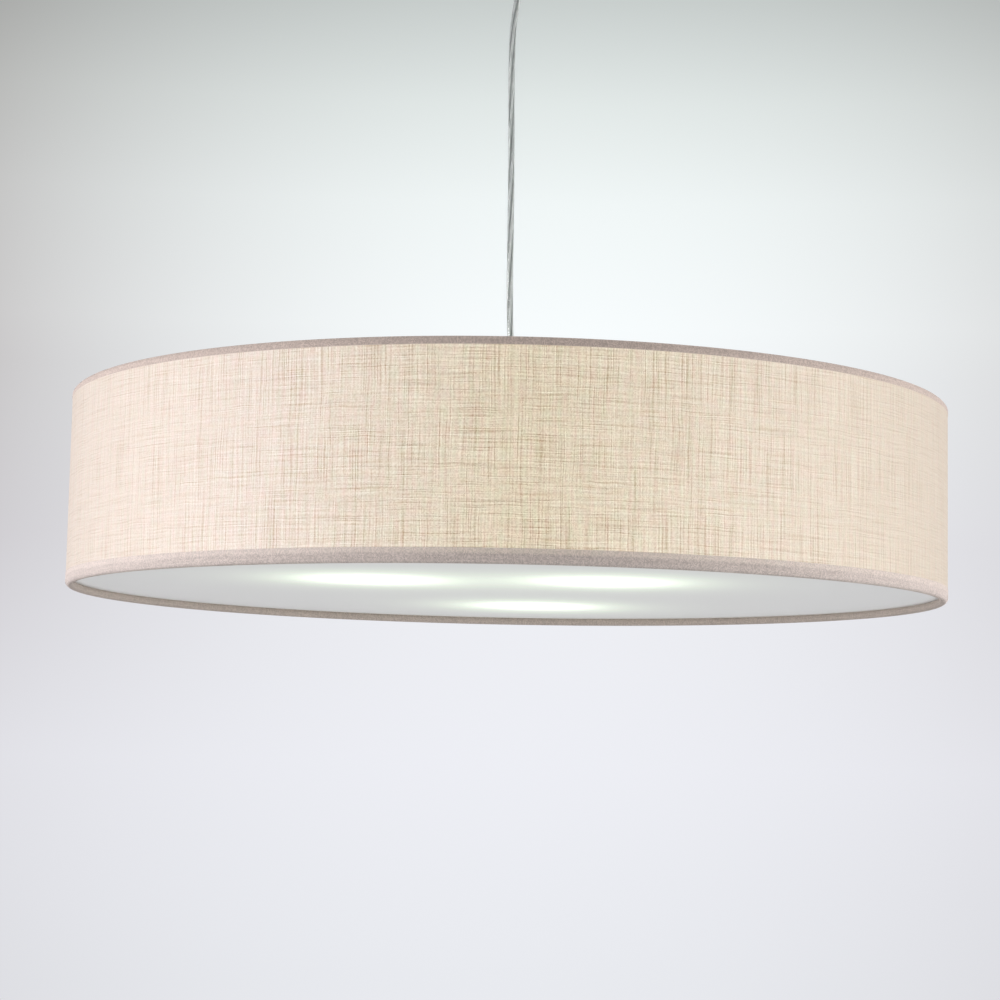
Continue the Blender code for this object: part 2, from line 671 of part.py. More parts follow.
# Carrier.
def make_spider(looks, body):
    plate = rod_profile(SPIDER_PLATE_RADIUS, SPIDER_PLATE_BOTTOM, SPIDER_PLATE_TOP, THREAD_HOLE)
    turned("spider_plate", plate, ROUND_STEPS, looks["steel"], body)
    washer_low = SPIDER_PLATE_TOP + GAP
    washer_high = washer_low + WASHER_THICKNESS
    washer = rod_profile(WASHER_RADIUS, washer_low, washer_high, THREAD_HOLE)
    turned("spider_washer", washer, ROUND_STEPS, looks["steel"], body)
    make_nut("spider_nut_upper", washer_high + GAP, looks["steel"], body)
    make_nut("spider_nut_lower", SPIDER_PLATE_BOTTOM - GAP - NUT_HEIGHT, looks["steel"], body)
    for i, azimuth in enumerate(SPIDER_AZIMUTHS, start=1):
        route = [
            level_point(azimuth, SPIDER_ARM_START, ARM_LOW_Z),
            level_point(azimuth, SPIDER_PLATE_RADIUS, ARM_LOW_Z),
            level_point(azimuth, SPIDER_PLATE_RADIUS + SPIDER_ARM_FLAT, ARM_LOW_Z),
            level_point(azimuth, ARM_END - SPIDER_ARM_SEAT - SPIDER_ARM_FLAT, ARM_HIGH_Z),
            level_point(azimuth, ARM_END - SPIDER_ARM_SEAT, ARM_HIGH_Z),
            level_point(azimuth, ARM_END, ARM_HIGH_Z),
        ]
        wire(f"spider_arm_{i}", route, SPIDER_WIRE_RADIUS, looks["wire"], body)


def make_stem(looks, body):
    stem = rod_profile(THREAD_RADIUS, STEM_BOTTOM, STEM_TOP, STEM_BORE)
    turned("stem_tube", stem, ROUND_STEPS, looks["steel"], body)


# Lamp body.
def make_can(looks, body):
    corner_r, corner_z = CAN_RADIUS - CAN_CORNER, CAN_TOP - CAN_CORNER
    inner_corner = CAN_CORNER - CAN_WALL
    profile = [
        (CAN_RADIUS - CAN_WALL, CAN_BOTTOM),
        (CAN_RADIUS, CAN_BOTTOM),
        *arc(corner_r, corner_z, CAN_CORNER, 0, 90, CAN_CORNER_STEPS),
        (THREAD_HOLE, CAN_TOP),
        (THREAD_HOLE, CAN_TOP - CAN_WALL),
        *arc(corner_r, corner_z, inner_corner, 90, 0, CAN_CORNER_STEPS),
    ]
    can = turned("body_can", profile, CANOPY_STEPS, looks["white_metal"], body)
    for i, azimuth in enumerate(LAMP_AZIMUTHS, start=1):
        low, high = CAN_RADIUS - CAN_WALL - 2 * CUT_OVERRUN, CAN_RADIUS + CUT_OVERRUN
        hole = round_cutter(
            f"can_hole_{i}", THREAD_HOLE, low, high, (0, 0, LAMP_Z), outwards(azimuth)
        )
        cut(can, hole)
    make_nut("body_nut_upper", CAN_TOP + GAP, looks["steel"], body)
    make_nut("body_nut_lower", CAN_TOP - CAN_WALL - GAP - NUT_HEIGHT, looks["steel"], body)
    skirt = CAN_RADIUS - CAN_WALL - GAP
    cover = [
        (0, COVER_TOP - COVER_THICKNESS),
        (CAN_RADIUS, COVER_TOP - COVER_THICKNESS),
        (CAN_RADIUS, COVER_TOP),
        (skirt, COVER_TOP),
        (skirt, COVER_TOP + COVER_SKIRT),
        (skirt - CAN_WALL, COVER_TOP + COVER_SKIRT),
        (skirt - CAN_WALL, COVER_TOP),
        (0, COVER_TOP),
    ]
    turned("body_cover", cover, CANOPY_STEPS, looks["white_metal"], body)


def globe_profile():
    """The bulb's glass, a round globe that narrows to an open neck, as (radius, reach) points outside and inside."""
    shoulder = radians(GLOBE_SHOULDER_DEGREES)
    widening = GLOBE_RADIUS * cos(shoulder) - NECK_RADIUS
    neck = CAP_FRONT + GAP
    run = LAMP_REACH - GLOBE_RADIUS * sin(shoulder) - neck
    throat = [
        (NECK_RADIUS + widening * wide_share, neck + run * way_share)
        for wide_share, way_share in GLOBE_NECK_SHARES
    ]
    walls = []
    for radius, wall in ((GLOBE_RADIUS, 0), (GLOBE_RADIUS - GLOBE_WALL, GLOBE_WALL)):
        ball = arc(0, LAMP_REACH, radius, -GLOBE_SHOULDER_DEGREES, 90, GLOBE_ARC_STEPS)
        ball[-1] = (0, LAMP_REACH + radius)
        walls.append([(place - wall, reach) for place, reach in throat] + ball)
    return walls


def make_globe(name, looks, body, place, turn):
    outside, inside = globe_profile()
    ring = list(reversed(outside)) + inside
    turned(name, ring, ROUND_STEPS, looks["glass"], body, place, turn)


def make_lamp_arm(i, azimuth, looks, carrier, bulb):
    """One lampholder on its tube, with its contacts and lead, and the bulb in it."""
    place, turn = (0, 0, LAMP_Z), outwards(azimuth)
    tube = rod_profile(THREAD_RADIUS, ARM_BACK, ARM_FRONT, STEM_BORE)
    turned(f"arm_tube_{i}", tube, SMALL_STEPS, looks["steel"], carrier, place, turn)
    contact_hole = CONTACT_RADIUS + GAP
    holder = [
        (THREAD_HOLE, HOLDER_BACK),
        (HOLDER_BACK_RADIUS, HOLDER_BACK),
        (HOLDER_BACK_RADIUS, SOCKET_FLOOR),
        (HOLDER_RADIUS, SOCKET_FLOOR + HOLDER_SHOULDER),
        (HOLDER_RADIUS, HOLDER_FRONT),
        (HOLDER_CAVITY, HOLDER_FRONT),
        (HOLDER_CAVITY, HOLDER_FLOOR),
        (contact_hole, HOLDER_FLOOR),
        (contact_hole, SOCKET_FLOOR),
        (THREAD_HOLE, SOCKET_FLOOR),
    ]
    turned(f"lampholder_{i}", holder, ROUND_STEPS, looks["holder"], carrier, place, turn)
    insert = [
        (INSERT_HOLE_RADIUS, INSERT_BACK),
        (INSERT_OUTER, INSERT_BACK),
        (INSERT_OUTER, INSERT_FRONT),
        (INSERT_INNER, INSERT_FRONT),
        (INSERT_INNER, INSERT_BACK + INSERT_WALL),
        (INSERT_HOLE_RADIUS, INSERT_BACK + INSERT_WALL),
    ]
    turned(f"lampholder_insert_{i}", insert, ROUND_STEPS, looks["brass"], carrier, place, turn)
    contact = rod_profile(CONTACT_RADIUS, CONTACT_BACK, CONTACT_FRONT)
    turned(f"lampholder_contact_{i}", contact, SMALL_STEPS, looks["brass"], carrier, place, turn)
    make_lead(i, azimuth, looks, carrier)
    cap = [
        (0, BULB_BACK),
        (CAP_TIP_RADIUS, BULB_BACK),
        (CAP_RADIUS, BULB_BACK + CAP_SHOULDER),
        (CAP_RADIUS, CAP_FRONT),
        (0, CAP_FRONT),
    ]
    turned(f"bulb_cap_{i}", cap, ROUND_STEPS, looks["cap"], bulb, place, turn)
    make_globe(f"bulb_globe_{i}", looks, bulb, place, turn)


def make_lead(i, azimuth, looks, body):
    """The lead from the terminal block up and out through the arm's tube to the lampholder's contact."""
    start = Vector(level_point(azimuth, LEAD_START, BODY_BLOCK_TOP + GAP))
    turn_in = Vector(level_point(azimuth, LEAD_START, LAMP_Z))
    turn_out = Vector(level_point(azimuth, LEAD_START + LEAD_BEND / 2, LAMP_Z))
    level = Vector(level_point(azimuth, LEAD_START + LEAD_BEND, LAMP_Z))
    end = Vector(level_point(azimuth, LEAD_END, LAMP_Z))
    bend = bezier(start, turn_in, turn_out, level, LEAD_POINTS)
    wire(f"lampholder_lead_{i}", [*bend, end], LEAD_RADIUS, looks["grip"], body)


def main():
    clear_scene()
    looks = make_looks()
    ceiling = body_frame("ceiling_frame", None, (0, 0, 0))
    canopy = body_frame("canopy_frame", ceiling, (0, 0, CANOPY_BOTTOM))
    upper_bend = body_frame("upper_bend_frame", canopy, (0, 0, UPPER_PIVOT))
    cord = body_frame("cord_frame", upper_bend, (0, 0, UPPER_PIVOT))
    lower_bend = body_frame("lower_bend_frame", cord, (0, 0, LOWER_PIVOT))
    lower_tail = body_frame("lower_tail_frame", lower_bend, (0, 0, LOWER_PIVOT))
    carrier = body_frame("carrier_frame", lower_tail, (0, 0, LOWER_PIVOT))
    diffuser = body_frame("diffuser_frame", carrier, (0, 0, SHADE_BOTTOM))

    make_bracket(looks, ceiling)
    make_side_screw("left", -1, looks, ceiling)
    make_side_screw("right", 1, looks, ceiling)
    make_block("ceiling_terminal_block", CEILING_BLOCK_BOTTOM, looks, ceiling)

    make_canopy(looks, canopy)
    make_canopy_grip(looks, canopy)
    make_tail("upper_cord_tail", UPPER_PIVOT + CORD_RADIUS + GAP, UPPER_TAIL_TOP, looks, canopy)
    make_cores("core_tail_", UPPER_TAIL_TOP + GAP, CEILING_BLOCK_BOTTOM - GAP, looks, canopy)

    make_bend("cord_bend_upper", UPPER_PIVOT, looks, upper_bend)
    make_cord(looks, cord)
    make_bend("cord_bend_lower", LOWER_PIVOT, looks, lower_bend)
    make_tail("lower_cord_tail", LOWER_TAIL_BOTTOM, LOWER_PIVOT - CORD_RADIUS - GAP, looks, lower_tail)

    make_hub_grip(looks, carrier)
    make_stem(looks, carrier)
    make_spider(looks, carrier)
    make_shade(looks, carrier)
    make_can(looks, carrier)
    make_block("body_terminal_block", BODY_BLOCK_BOTTOM, looks, carrier)
    make_cores("body_core_", LOWER_TAIL_BOTTOM - GAP, BODY_BLOCK_TOP + GAP, looks, carrier)
    make_diffuser(looks, diffuser)
    for i, azimuth in enumerate(LAMP_AZIMUTHS, start=1):
        bulb = body_frame(f"bulb_frame_{i}", carrier, level_point(azimuth, LAMP_REACH, LAMP_Z))
        make_lamp_arm(i, azimuth, looks, carrier, bulb)


main()
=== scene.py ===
"""Looks of the drum pendant light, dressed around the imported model."""

from math import cos, pi, radians, sin

import bmesh
import bpy
from mathutils import Matrix, Vector


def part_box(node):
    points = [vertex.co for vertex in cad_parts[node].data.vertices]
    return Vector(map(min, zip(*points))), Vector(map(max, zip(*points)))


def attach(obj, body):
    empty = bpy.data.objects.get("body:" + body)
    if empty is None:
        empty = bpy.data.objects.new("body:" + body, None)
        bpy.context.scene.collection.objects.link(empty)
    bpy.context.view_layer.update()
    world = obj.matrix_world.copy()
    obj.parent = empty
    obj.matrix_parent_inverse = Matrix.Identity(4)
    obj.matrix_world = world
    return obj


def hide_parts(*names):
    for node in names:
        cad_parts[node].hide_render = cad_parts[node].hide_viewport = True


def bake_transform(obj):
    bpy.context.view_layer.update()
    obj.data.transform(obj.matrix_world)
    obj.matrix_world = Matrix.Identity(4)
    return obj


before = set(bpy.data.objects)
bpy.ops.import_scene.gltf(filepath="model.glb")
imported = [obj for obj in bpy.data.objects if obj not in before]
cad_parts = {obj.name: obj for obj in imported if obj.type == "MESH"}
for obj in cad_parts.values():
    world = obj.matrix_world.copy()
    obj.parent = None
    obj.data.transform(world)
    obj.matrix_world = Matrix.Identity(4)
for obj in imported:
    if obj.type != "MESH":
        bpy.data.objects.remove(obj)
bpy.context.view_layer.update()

# Sizes and places, in metres. The ceiling is z = 0 and the light hangs below it.
SHADE_LOW, SHADE_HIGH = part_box("shade_fabric")
SHADE_RADIUS = SHADE_HIGH.x
SHADE_TOP = SHADE_HIGH.z
SHADE_BOTTOM = SHADE_LOW.z
FABRIC = 0.0008
HEM_PROUD = 0.0003
HEM_STEP = 0.0008
HEM_BLUR = 0.0004
TOP_HEM = 0.0068
BOTTOM_BEAD = 0.0078
BOTTOM_HEM = 0.0120
WALL_LOW, WALL_HIGH = SHADE_BOTTOM + BOTTOM_HEM, SHADE_TOP - TOP_HEM
WIRE_RADIUS = 0.0025
HEM_ROOM = 0.0004
SEAM_AZIMUTH = 97.0
SEAM_WIDTH = 0.012
SEAM_EDGE = 0.0008
SEAM_RISE = 0.0006
LINER = 0.0005
LINER_LAP = 0.0004
SPIDER_AZIMUTHS = (30.0, 150.0, 270.0)
LAMP_AZIMUTHS = (-131.0, -62.0, 81.0)
LAMP_REACH = 0.180
LAMP_Z = SHADE_BOTTOM + 0.090
CORD_DIAMETER = 0.006
CORD_RADIUS = CORD_DIAMETER / 2
CORE_RADIUS = 0.00105
CORE_OFFSET = 0.00170
# The dark core between the strands is painted shade, showing in their gaps.
GAP_SHADE_RADIUS = 0.00175
CORE_TWIST_LENGTH = 0.1917
CORE_TWIST_START = 0.6214
UPPER_PIVOT = -0.0528
LOWER_PIVOT = -0.3945
CORD_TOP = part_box("cord")[1].z
CORD_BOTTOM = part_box("cord")[0].z
# The cord's own route between its two grips, as (x, z) places chosen along its slight bow.
CORD_ROUTE = (
    (-0.0027, -0.075), (-0.0042, -0.095), (-0.0046, -0.125), (-0.0042, -0.160), (-0.0035, -0.200),
    (-0.0029, -0.245), (-0.0026, -0.290), (-0.0023, -0.335), (-0.0014, -0.370),
)
CORD_SPACING = 0.004
# A lamp tube has the thread M10 x 1, and passes through holes a little wider than itself.
TUBE_RADIUS = 0.005
TUBE_BORE = 0.00345
TUBE_PITCH = 0.001
TUBE_THREAD = 0.0005
TUBE_HOLE = 0.0053
SHEET_METAL = 0.001
SIDE_SCREW_Z = -0.010
# The loose cores: where each stands round the axis, its name and its colour.
LOOSE_CORES = ((60.0, "live", "brown"), (180.0, "neutral", "blue"), (300.0, "earth", "green"))
LOOSE_CORE_RADIUS = 0.00112
CORE_REACH_AT_CORD = 0.0015
CORE_REACH_AT_BLOCK = 0.003
CORE_WAY = 0.0013
LEAD_RADIUS = 0.0021
LEAD_REACH = 0.008
LEAD_WAY = 0.0023
SHARP = radians(35)
CORNER_SHARE = 0.45
TINY = 1e-7

# The linen's threads, and colours as red, green and blue: the cloth, painted shade on the hem's turned-in
# inside, and the glow in cloth and disc.
THREAD_PITCH = 0.00085
WARP_STEP, WEFT_STEP = 17.31, 13.73
WALL_CLOTH = (0.333, 0.290, 0.250)
HEM_CLOTH_LOW, HEM_CLOTH_HIGH = (0.600, 0.522, 0.482), (0.560, 0.465, 0.415)
HEM_INSIDE_PAINTED_SHADE = (0.505, 0.435, 0.380)
BAND_SHARE = 0.20
LINEN_GLOW, LINEN_GLOW_SIDE = (0.519, 0.447, 0.316), (0.550, 0.477, 0.424)
LINEN_GLOW_GAIN = 13.4
HELD_BACK = (0.805, 1.0, 1.235)
PINKER, CREAMIER = (0.12, -0.11, 0.0), (0.06, 0.0, -0.10)
OPAL_GLOW = (0.156, 0.156, 0.155)
OPAL_TINT, OPAL_TINT_BRIGHT = (0.79, 1.0, 0.67), (1.0, 1.0, 0.97)
# The glow lies a little behind the lamps, as it does in the photo.
GLOW_SHIFT = 0.022
ROUGHNESS_SPREAD = 0.03

# Light from all round, and the backdrop's colours by the sine of the elevation.
WORLD_COLOUR = (1.0, 0.995, 0.985, 1.0)
WORLD_BELOW, WORLD_ABOVE = 0.35, 0.48
BACKDROP = (
    (-0.50, (0.78, 0.80, 0.83)),
    (-0.09, (0.81, 0.825, 0.865)),
    (0.00, (0.85, 0.86, 0.91)),
    (0.09, (0.85, 0.86, 0.90)),
    (0.18, (0.94, 0.98, 0.99)),
    (0.23, (0.88, 0.93, 0.93)),
    (0.27, (0.76, 0.81, 0.80)),
    (0.31, (0.58, 0.62, 0.61)),
    (0.50, (0.58, 0.61, 0.61)),
)
BACKDROP_FALL = (0.93, 1.02, 1.03)
FLOOR_RADIUS, FLOOR_Z = 6.0, -2.4

# Camera, as fitted to the photo's rims.
CAMERA_PLACE = (0.0, -2.2113, -0.7788)
CAMERA_YAW, CAMERA_PITCH, CAMERA_ROLL = -0.195, 6.274, 1.143
CAMERA_LENS = 86.54
CAMERA_SENSOR = 36.0


# Small tools.
def link(obj):
    bpy.context.scene.collection.objects.link(obj)
    return obj


def level_point(azimuth, reach, height):
    return Vector((reach * cos(radians(azimuth)), reach * sin(radians(azimuth)), height))


def outwards(azimuth, height):
    """The frame of a piece turned about Z that lies level at this azimuth."""
    turn = Matrix.Rotation(radians(azimuth), 4, "Z") @ Matrix.Rotation(pi / 2, 4, "Y")
    return Matrix.Translation((0, 0, height)) @ turn


def extent(node, azimuth):
    """How near and far a node reaches along a level direction."""
    direction = level_point(azimuth, 1, 0)
    reaches = [v.co.dot(direction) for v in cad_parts[node].data.vertices]
    return min(reaches), max(reaches)


def finished(name, mesh, look):
    """The object of a mesh, shaded smooth with its sharp edges kept."""
    mesh.shade_smooth()
    mesh.set_sharp_from_angle(angle=SHARP)
    mesh.materials.append(LOOKS[look])
    return link(bpy.data.objects.new(name, mesh))


def mesh_object(name, verts, faces, look, place=None):
    bm = bmesh.new()
    made = [bm.verts.new(co) for co in verts]
    for face in faces:
        bm.faces.new([made[i] for i in face])
    bmesh.ops.recalc_face_normals(bm, faces=bm.faces)
    mesh = bpy.data.meshes.new(name)
    bm.to_mesh(mesh)
    bm.free()
    if place is not None:
        mesh.transform(place)
    return finished(name, mesh, look)


def lathe(name, profile, look, steps, shape=None, place=None):
    """Turns (radius, height) points about Z. A profile that ends on the axis at both ends is closed by it."""
    verts, rings = [], []
    for radius, height in profile:
        if radius < TINY:
            rings.append([len(verts)] * steps)
            verts.append((0, 0, height))
            continue
        ring = []
        for i in range(steps):
            angle = 2 * pi * i / steps
            r, h = shape(angle, radius, height) if shape else (radius, height)
            ring.append(len(verts))
            verts.append((r * cos(angle), r * sin(angle), h))
        rings.append(ring)
    pairs = list(zip(rings, rings[1:]))
    if profile[0][0] > TINY:
        pairs.append((rings[-1], rings[0]))
    faces = []
    for a, b in pairs:
        for i in range(steps):
            j = (i + 1) % steps
            face = list(dict.fromkeys((a[i], a[j], b[j], b[i])))
            if len(face) > 2:
                faces.append(face)
    return mesh_object(name, verts, faces, look, place)


def band(inner, outer, low, high):
    """The outline of a plain ring, or of a disc where the inner radius is 0."""
    return [(inner, low), (outer, low), (outer, high), (inner, high)]


def eased(before, corner, after, radius, steps):
    """The small curve that takes the place of a corner."""
    corner = Vector(corner)
    to_last, to_next = Vector(before) - corner, Vector(after) - corner
    start = corner + to_last.normalized() * min(radius, to_last.length * CORNER_SHARE)
    end = corner + to_next.normalized() * min(radius, to_next.length * CORNER_SHARE)
    shares = [k / steps for k in range(steps + 1)]
    return [start * (1 - t) ** 2 + corner * 2 * t * (1 - t) + end * t * t for t in shares]


def rounded(points, radius, steps=3):
    """An outline with each corner off the axis eased into a small curve."""
    count = len(points)
    ends = () if points[0][0] > TINY else (0, count - 1)
    result = []
    for i, point in enumerate(points):
        curve = [Vector(point)]
        if i not in ends:
            curve = eased(points[i - 1], point, points[(i + 1) % count], radius, steps)
        result += [tuple(place) for place in curve]
    return result


def bent(corners, radius, steps):
    """A wire's line through corners, with each bend turned into a curve."""
    points = [Vector(corners[0])]
    for before, corner, after in zip(corners, corners[1:], corners[2:]):
        points += eased(before, corner, after, radius, steps)
    return [*points, Vector(corners[-1])]


def arc(centre_r, centre_z, radius, start, end, steps):
    """Points on an arc in the (radius, height) plane, with angles in degrees from straight outwards."""
    angles = [radians(start + (end - start) * i / steps) for i in range(steps + 1)]
    return [(centre_r + radius * cos(angle), centre_z + radius * sin(angle)) for angle in angles]


def ladder(radius, low, high, rise):
    """Points up a straight wall, about one rise apart."""
    count = max(2, round((high - low) / rise))
    return [(radius, low + (high - low) * i / count) for i in range(count + 1)]


def threaded(pitch, depth, low, high, inside=0.0):
    """The shape of a screw thread cut into the outer wall between two heights."""

    def shape(angle, radius, height):
        if radius > inside and low < height < high:
            phase = (height / pitch - angle / (2 * pi)) % 1.0
            run_out = min(1.0, (height - low) / pitch, (high - height) / pitch)
            radius -= depth * abs(2 * phase - 1) * max(0.0, run_out)
        return radius, height

    return shape


def fluted(angle, radius, count, depth):
    """A radius with shallow grip flutes cut into it."""
    return radius - depth * (0.5 + 0.5 * cos(count * angle))


def tube(name, points, radius, look, sides):
    """A round wire or cord along a list of points, with flat ends, as a mesh."""
    points = [Vector(p) for p in points]
    verts, faces, rings = [], [], []
    tangent = (points[1] - points[0]).normalized()
    normal = tangent.orthogonal().normalized()
    for i, point in enumerate(points):
        ahead, behind = points[min(i + 1, len(points) - 1)], points[max(i - 1, 0)]
        turned = (ahead - behind).normalized()
        normal = (normal - turned * normal.dot(turned)).normalized()
        side = turned.cross(normal)
        ring = []
        for k in range(sides):
            angle = 2 * pi * k / sides
            ring.append(len(verts))
            verts.append(point + (normal * cos(angle) + side * sin(angle)) * radius)
        rings.append(ring)
    for a, b in zip(rings, rings[1:]):
        for i in range(sides):
            j = (i + 1) % sides
            faces.append((a[i], a[j], b[j], b[i]))
    faces.append(tuple(reversed(rings[0])))
    faces.append(tuple(rings[-1]))
    return mesh_object(name, verts, faces, look)


def smooth_through(route, spacing):
    """Points about one spacing apart on a smooth curve through the route's points."""
    route = [Vector(point) for point in route]
    padded = [2 * route[0] - route[1], *route, 2 * route[-1] - route[-2]]
    points = [route[0]]
    for before, a, b, after in zip(padded, padded[1:], padded[2:], padded[3:]):
        pieces = max(1, round((b - a).length / spacing))
        for i in range(1, pieces + 1):
            t = i / pieces
            linear = (b - before) * t
            square = (2 * before - 5 * a + 4 * b - after) * t**2
            cubic = (3 * a - before - 3 * b + after) * t**3
            points.append(0.5 * (2 * a + linear + square + cubic))
    return points


def bezier(start, start_pull, end_pull, end, count=24):
    """Points along one cubic curve."""
    points = []
    for i in range(count):
        t = i / (count - 1)
        u = 1 - t
        points.append(u**3 * start + 3 * u * u * t * start_pull + 3 * u * t * t * end_pull + t**3 * end)
    return points


def carve(obj, *tools):
    """Takes the tools' shapes out of obj for good, and removes the tools."""
    for tool in tools:
        cut = obj.modifiers.new("cut", "BOOLEAN")
        cut.operation = "DIFFERENCE"
        cut.solver = "EXACT"
        cut.object = tool
    bpy.context.view_layer.update()
    carved = bpy.data.meshes.new_from_object(obj.evaluated_get(bpy.context.evaluated_depsgraph_get()))
    obj.modifiers.clear()
    obj.data = carved
    carved.shade_smooth()
    carved.set_sharp_from_angle(angle=SHARP)
    for tool in tools:
        bpy.data.objects.remove(tool)
    return obj


def rod(name, radius, low, high, place):
    """A round cutting tool along the Z of its place."""
    return lathe(name, band(0, radius, low, high), "plastic", 32, None, place)


def block(name, low, high, look, edge=0.0):
    """A moulded block with eased edges."""
    low, high = Vector(low), Vector(high)
    bm = bmesh.new()
    bmesh.ops.create_cube(bm, size=1)
    bmesh.ops.scale(bm, vec=high - low, verts=bm.verts)
    bmesh.ops.translate(bm, vec=(low + high) / 2, verts=bm.verts)
    if edge > 0:
        bmesh.ops.bevel(bm, geom=bm.edges, offset=edge, segments=3, profile=0.5, affect="EDGES")
    mesh = bpy.data.meshes.new(name)
    bm.to_mesh(mesh)
    bm.free()
    return finished(name, mesh, look)


def dress(obj, body, slot, *nodes):
    """Sets obj on its body, in place of its CAD nodes; the slot argument is not used."""
    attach(obj, body)
    if nodes:
        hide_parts(*nodes)
    return obj


# Materials.
def rgba(colour):
    return (*colour, 1.0)


def each_way(cell):
    return cell if isinstance(cell, tuple) else (cell, cell, cell)


class Look:
    """A node material under construction, with its Principled shader."""

    def __init__(self, name, **sockets):
        self.material = bpy.data.materials.new(name)
        self.material.use_nodes = True
        self.tree = self.material.node_tree
        self.shader = self.tree.nodes["Principled BSDF"]
        self.place = self.add("TexCoord").outputs["Object"]
        for socket, value in sockets.items():
            self.shader.inputs[socket.replace("_", " ")].default_value = value

    def add(self, kind, **settings):
        node = self.tree.nodes.new("ShaderNode" + kind)
        for key, value in settings.items():
            setattr(node, key, value)
        return node

    def feed(self, target, value):
        if isinstance(value, bpy.types.NodeSocket):
            self.tree.links.new(value, target)
        else:
            target.default_value = value

    def math(self, operation, *values):
        node = self.add("Math", operation=operation)
        for target, value in zip(node.inputs, values):
            self.feed(target, value)
        return node.outputs[0]

    def times(self, *values):
        return self.math("MULTIPLY", *values)

    def over(self, *values):
        return self.math("DIVIDE", *values)

    def vector(self, operation, a, b=(0, 0, 0)):
        node = self.add("VectorMath", operation=operation)
        self.feed(node.inputs[0], a)
        self.feed(node.inputs[1], b)
        return node.outputs["Value" if operation in ("LENGTH", "DISTANCE") else "Vector"]

    def level_reach(self):
        """How far from the axis a point lies."""
        return self.vector("LENGTH", self.vector("MULTIPLY", self.place, (1, 1, 0)))

    def part(self, axis):
        node = self.add("SeparateXYZ")
        self.feed(node.inputs[0], self.place)
        return node.outputs[axis]

    def noise(self, cell, detail=2.0):
        """Noise whose cells measure one number of metres each way, or (x, y, z) metres."""
        scaled = self.vector("DIVIDE", self.place, each_way(cell))
        node = self.add("TexNoise")
        node.inputs["Scale"].default_value = 1.0
        node.inputs["Detail"].default_value = detail
        self.feed(node.inputs["Vector"], scaled)
        return node.outputs["Fac"]

    def flat_noise(self, across, along, white=False):
        """Noise about zero over two coordinates, smooth or a new value at each whole step."""
        join = self.add("CombineXYZ")
        self.feed(join.inputs[0], across)
        self.feed(join.inputs[1], along)
        node = self.add("TexWhiteNoise" if white else "TexNoise", noise_dimensions="2D")
        self.feed(node.inputs["Vector"], join.outputs[0])
        if not white:
            node.inputs["Scale"].default_value = 1.0
            node.inputs["Detail"].default_value = 0.6
        return self.math("SUBTRACT", node.outputs["Value" if white else "Fac"], 0.5)

    def add_up(self, *terms):
        """The sum of (value, factor) pairs."""
        total = 0.0
        for value, factor in terms:
            total = self.math("MULTIPLY_ADD", value, factor, total)
        return total

    def ramp(self, value, low, high, to_low=0.0, to_high=1.0, smooth=True):
        node = self.add("MapRange", clamp=True, interpolation_type="SMOOTHSTEP" if smooth else "LINEAR")
        for key, number in (("From Min", low), ("From Max", high), ("To Min", to_low), ("To Max", to_high)):
            self.feed(node.inputs[key], number)
        self.feed(node.inputs["Value"], value)
        return node.outputs["Result"]

    def blend(self, share, a, b):
        node = self.add("Mix", data_type="RGBA")
        # A mix node has its colour sockets at places 6 and 7, and its colour result at 2.
        for place, value in ((0, share), (6, a), (7, b)):
            self.feed(node.inputs[place], rgba(value) if isinstance(value, tuple) else value)
        return node.outputs[2]

    def scaled(self, colour, factor):
        """A colour times a number."""
        node = self.add("VectorMath", operation="SCALE")
        self.feed(node.inputs[0], colour)
        self.feed(node.inputs["Scale"], factor)
        return node.outputs["Vector"]

    def bump(self, height, distance, strength):
        node = self.add("Bump")
        node.inputs["Distance"].default_value = distance
        node.inputs["Strength"].default_value = strength
        self.feed(node.inputs["Height"], height)
        self.into("Normal", node.outputs[0])

    def into(self, socket, value):
        self.tree.links.new(value, self.shader.inputs[socket])

    def paint(self, share, a, b, socket="Base Color"):
        """Lets the socket's colour run from a to b with the share."""
        self.into(socket, self.blend(share, a, b))


def lamp_light(look, reach, power, flat, shift=0.0):
    """The sum of the three lamps' light, each 1 at its lamp and falling off over reach."""
    total = 0.0
    place = look.vector("MULTIPLY", look.place, (1, 1, 0)) if flat else look.place
    for azimuth in LAMP_AZIMUTHS:
        lamp = level_point(azimuth, LAMP_REACH, 0 if flat else LAMP_Z) + Vector((0, shift, 0))
        away = look.over(look.vector("DISTANCE", place, tuple(lamp)), reach)
        spread = look.math("ADD", look.times(away, away), 1.0)
        total = look.math("ADD", look.math("POWER", spread, -power), total)
    return total


def along_cloth(look):
    """Metres along the cloth, counted both ways from opposite its seam, so that the jump lies in the seam."""
    start = radians(SEAM_AZIMUTH - 180)
    x, y = look.part("X"), look.part("Y")
    turned_x = look.add_up((x, cos(start)), (y, sin(start)))
    turned_y = look.add_up((x, -sin(start)), (y, cos(start)))
    return look.times(look.math("ARCTAN2", turned_y, turned_x), SHADE_RADIUS)


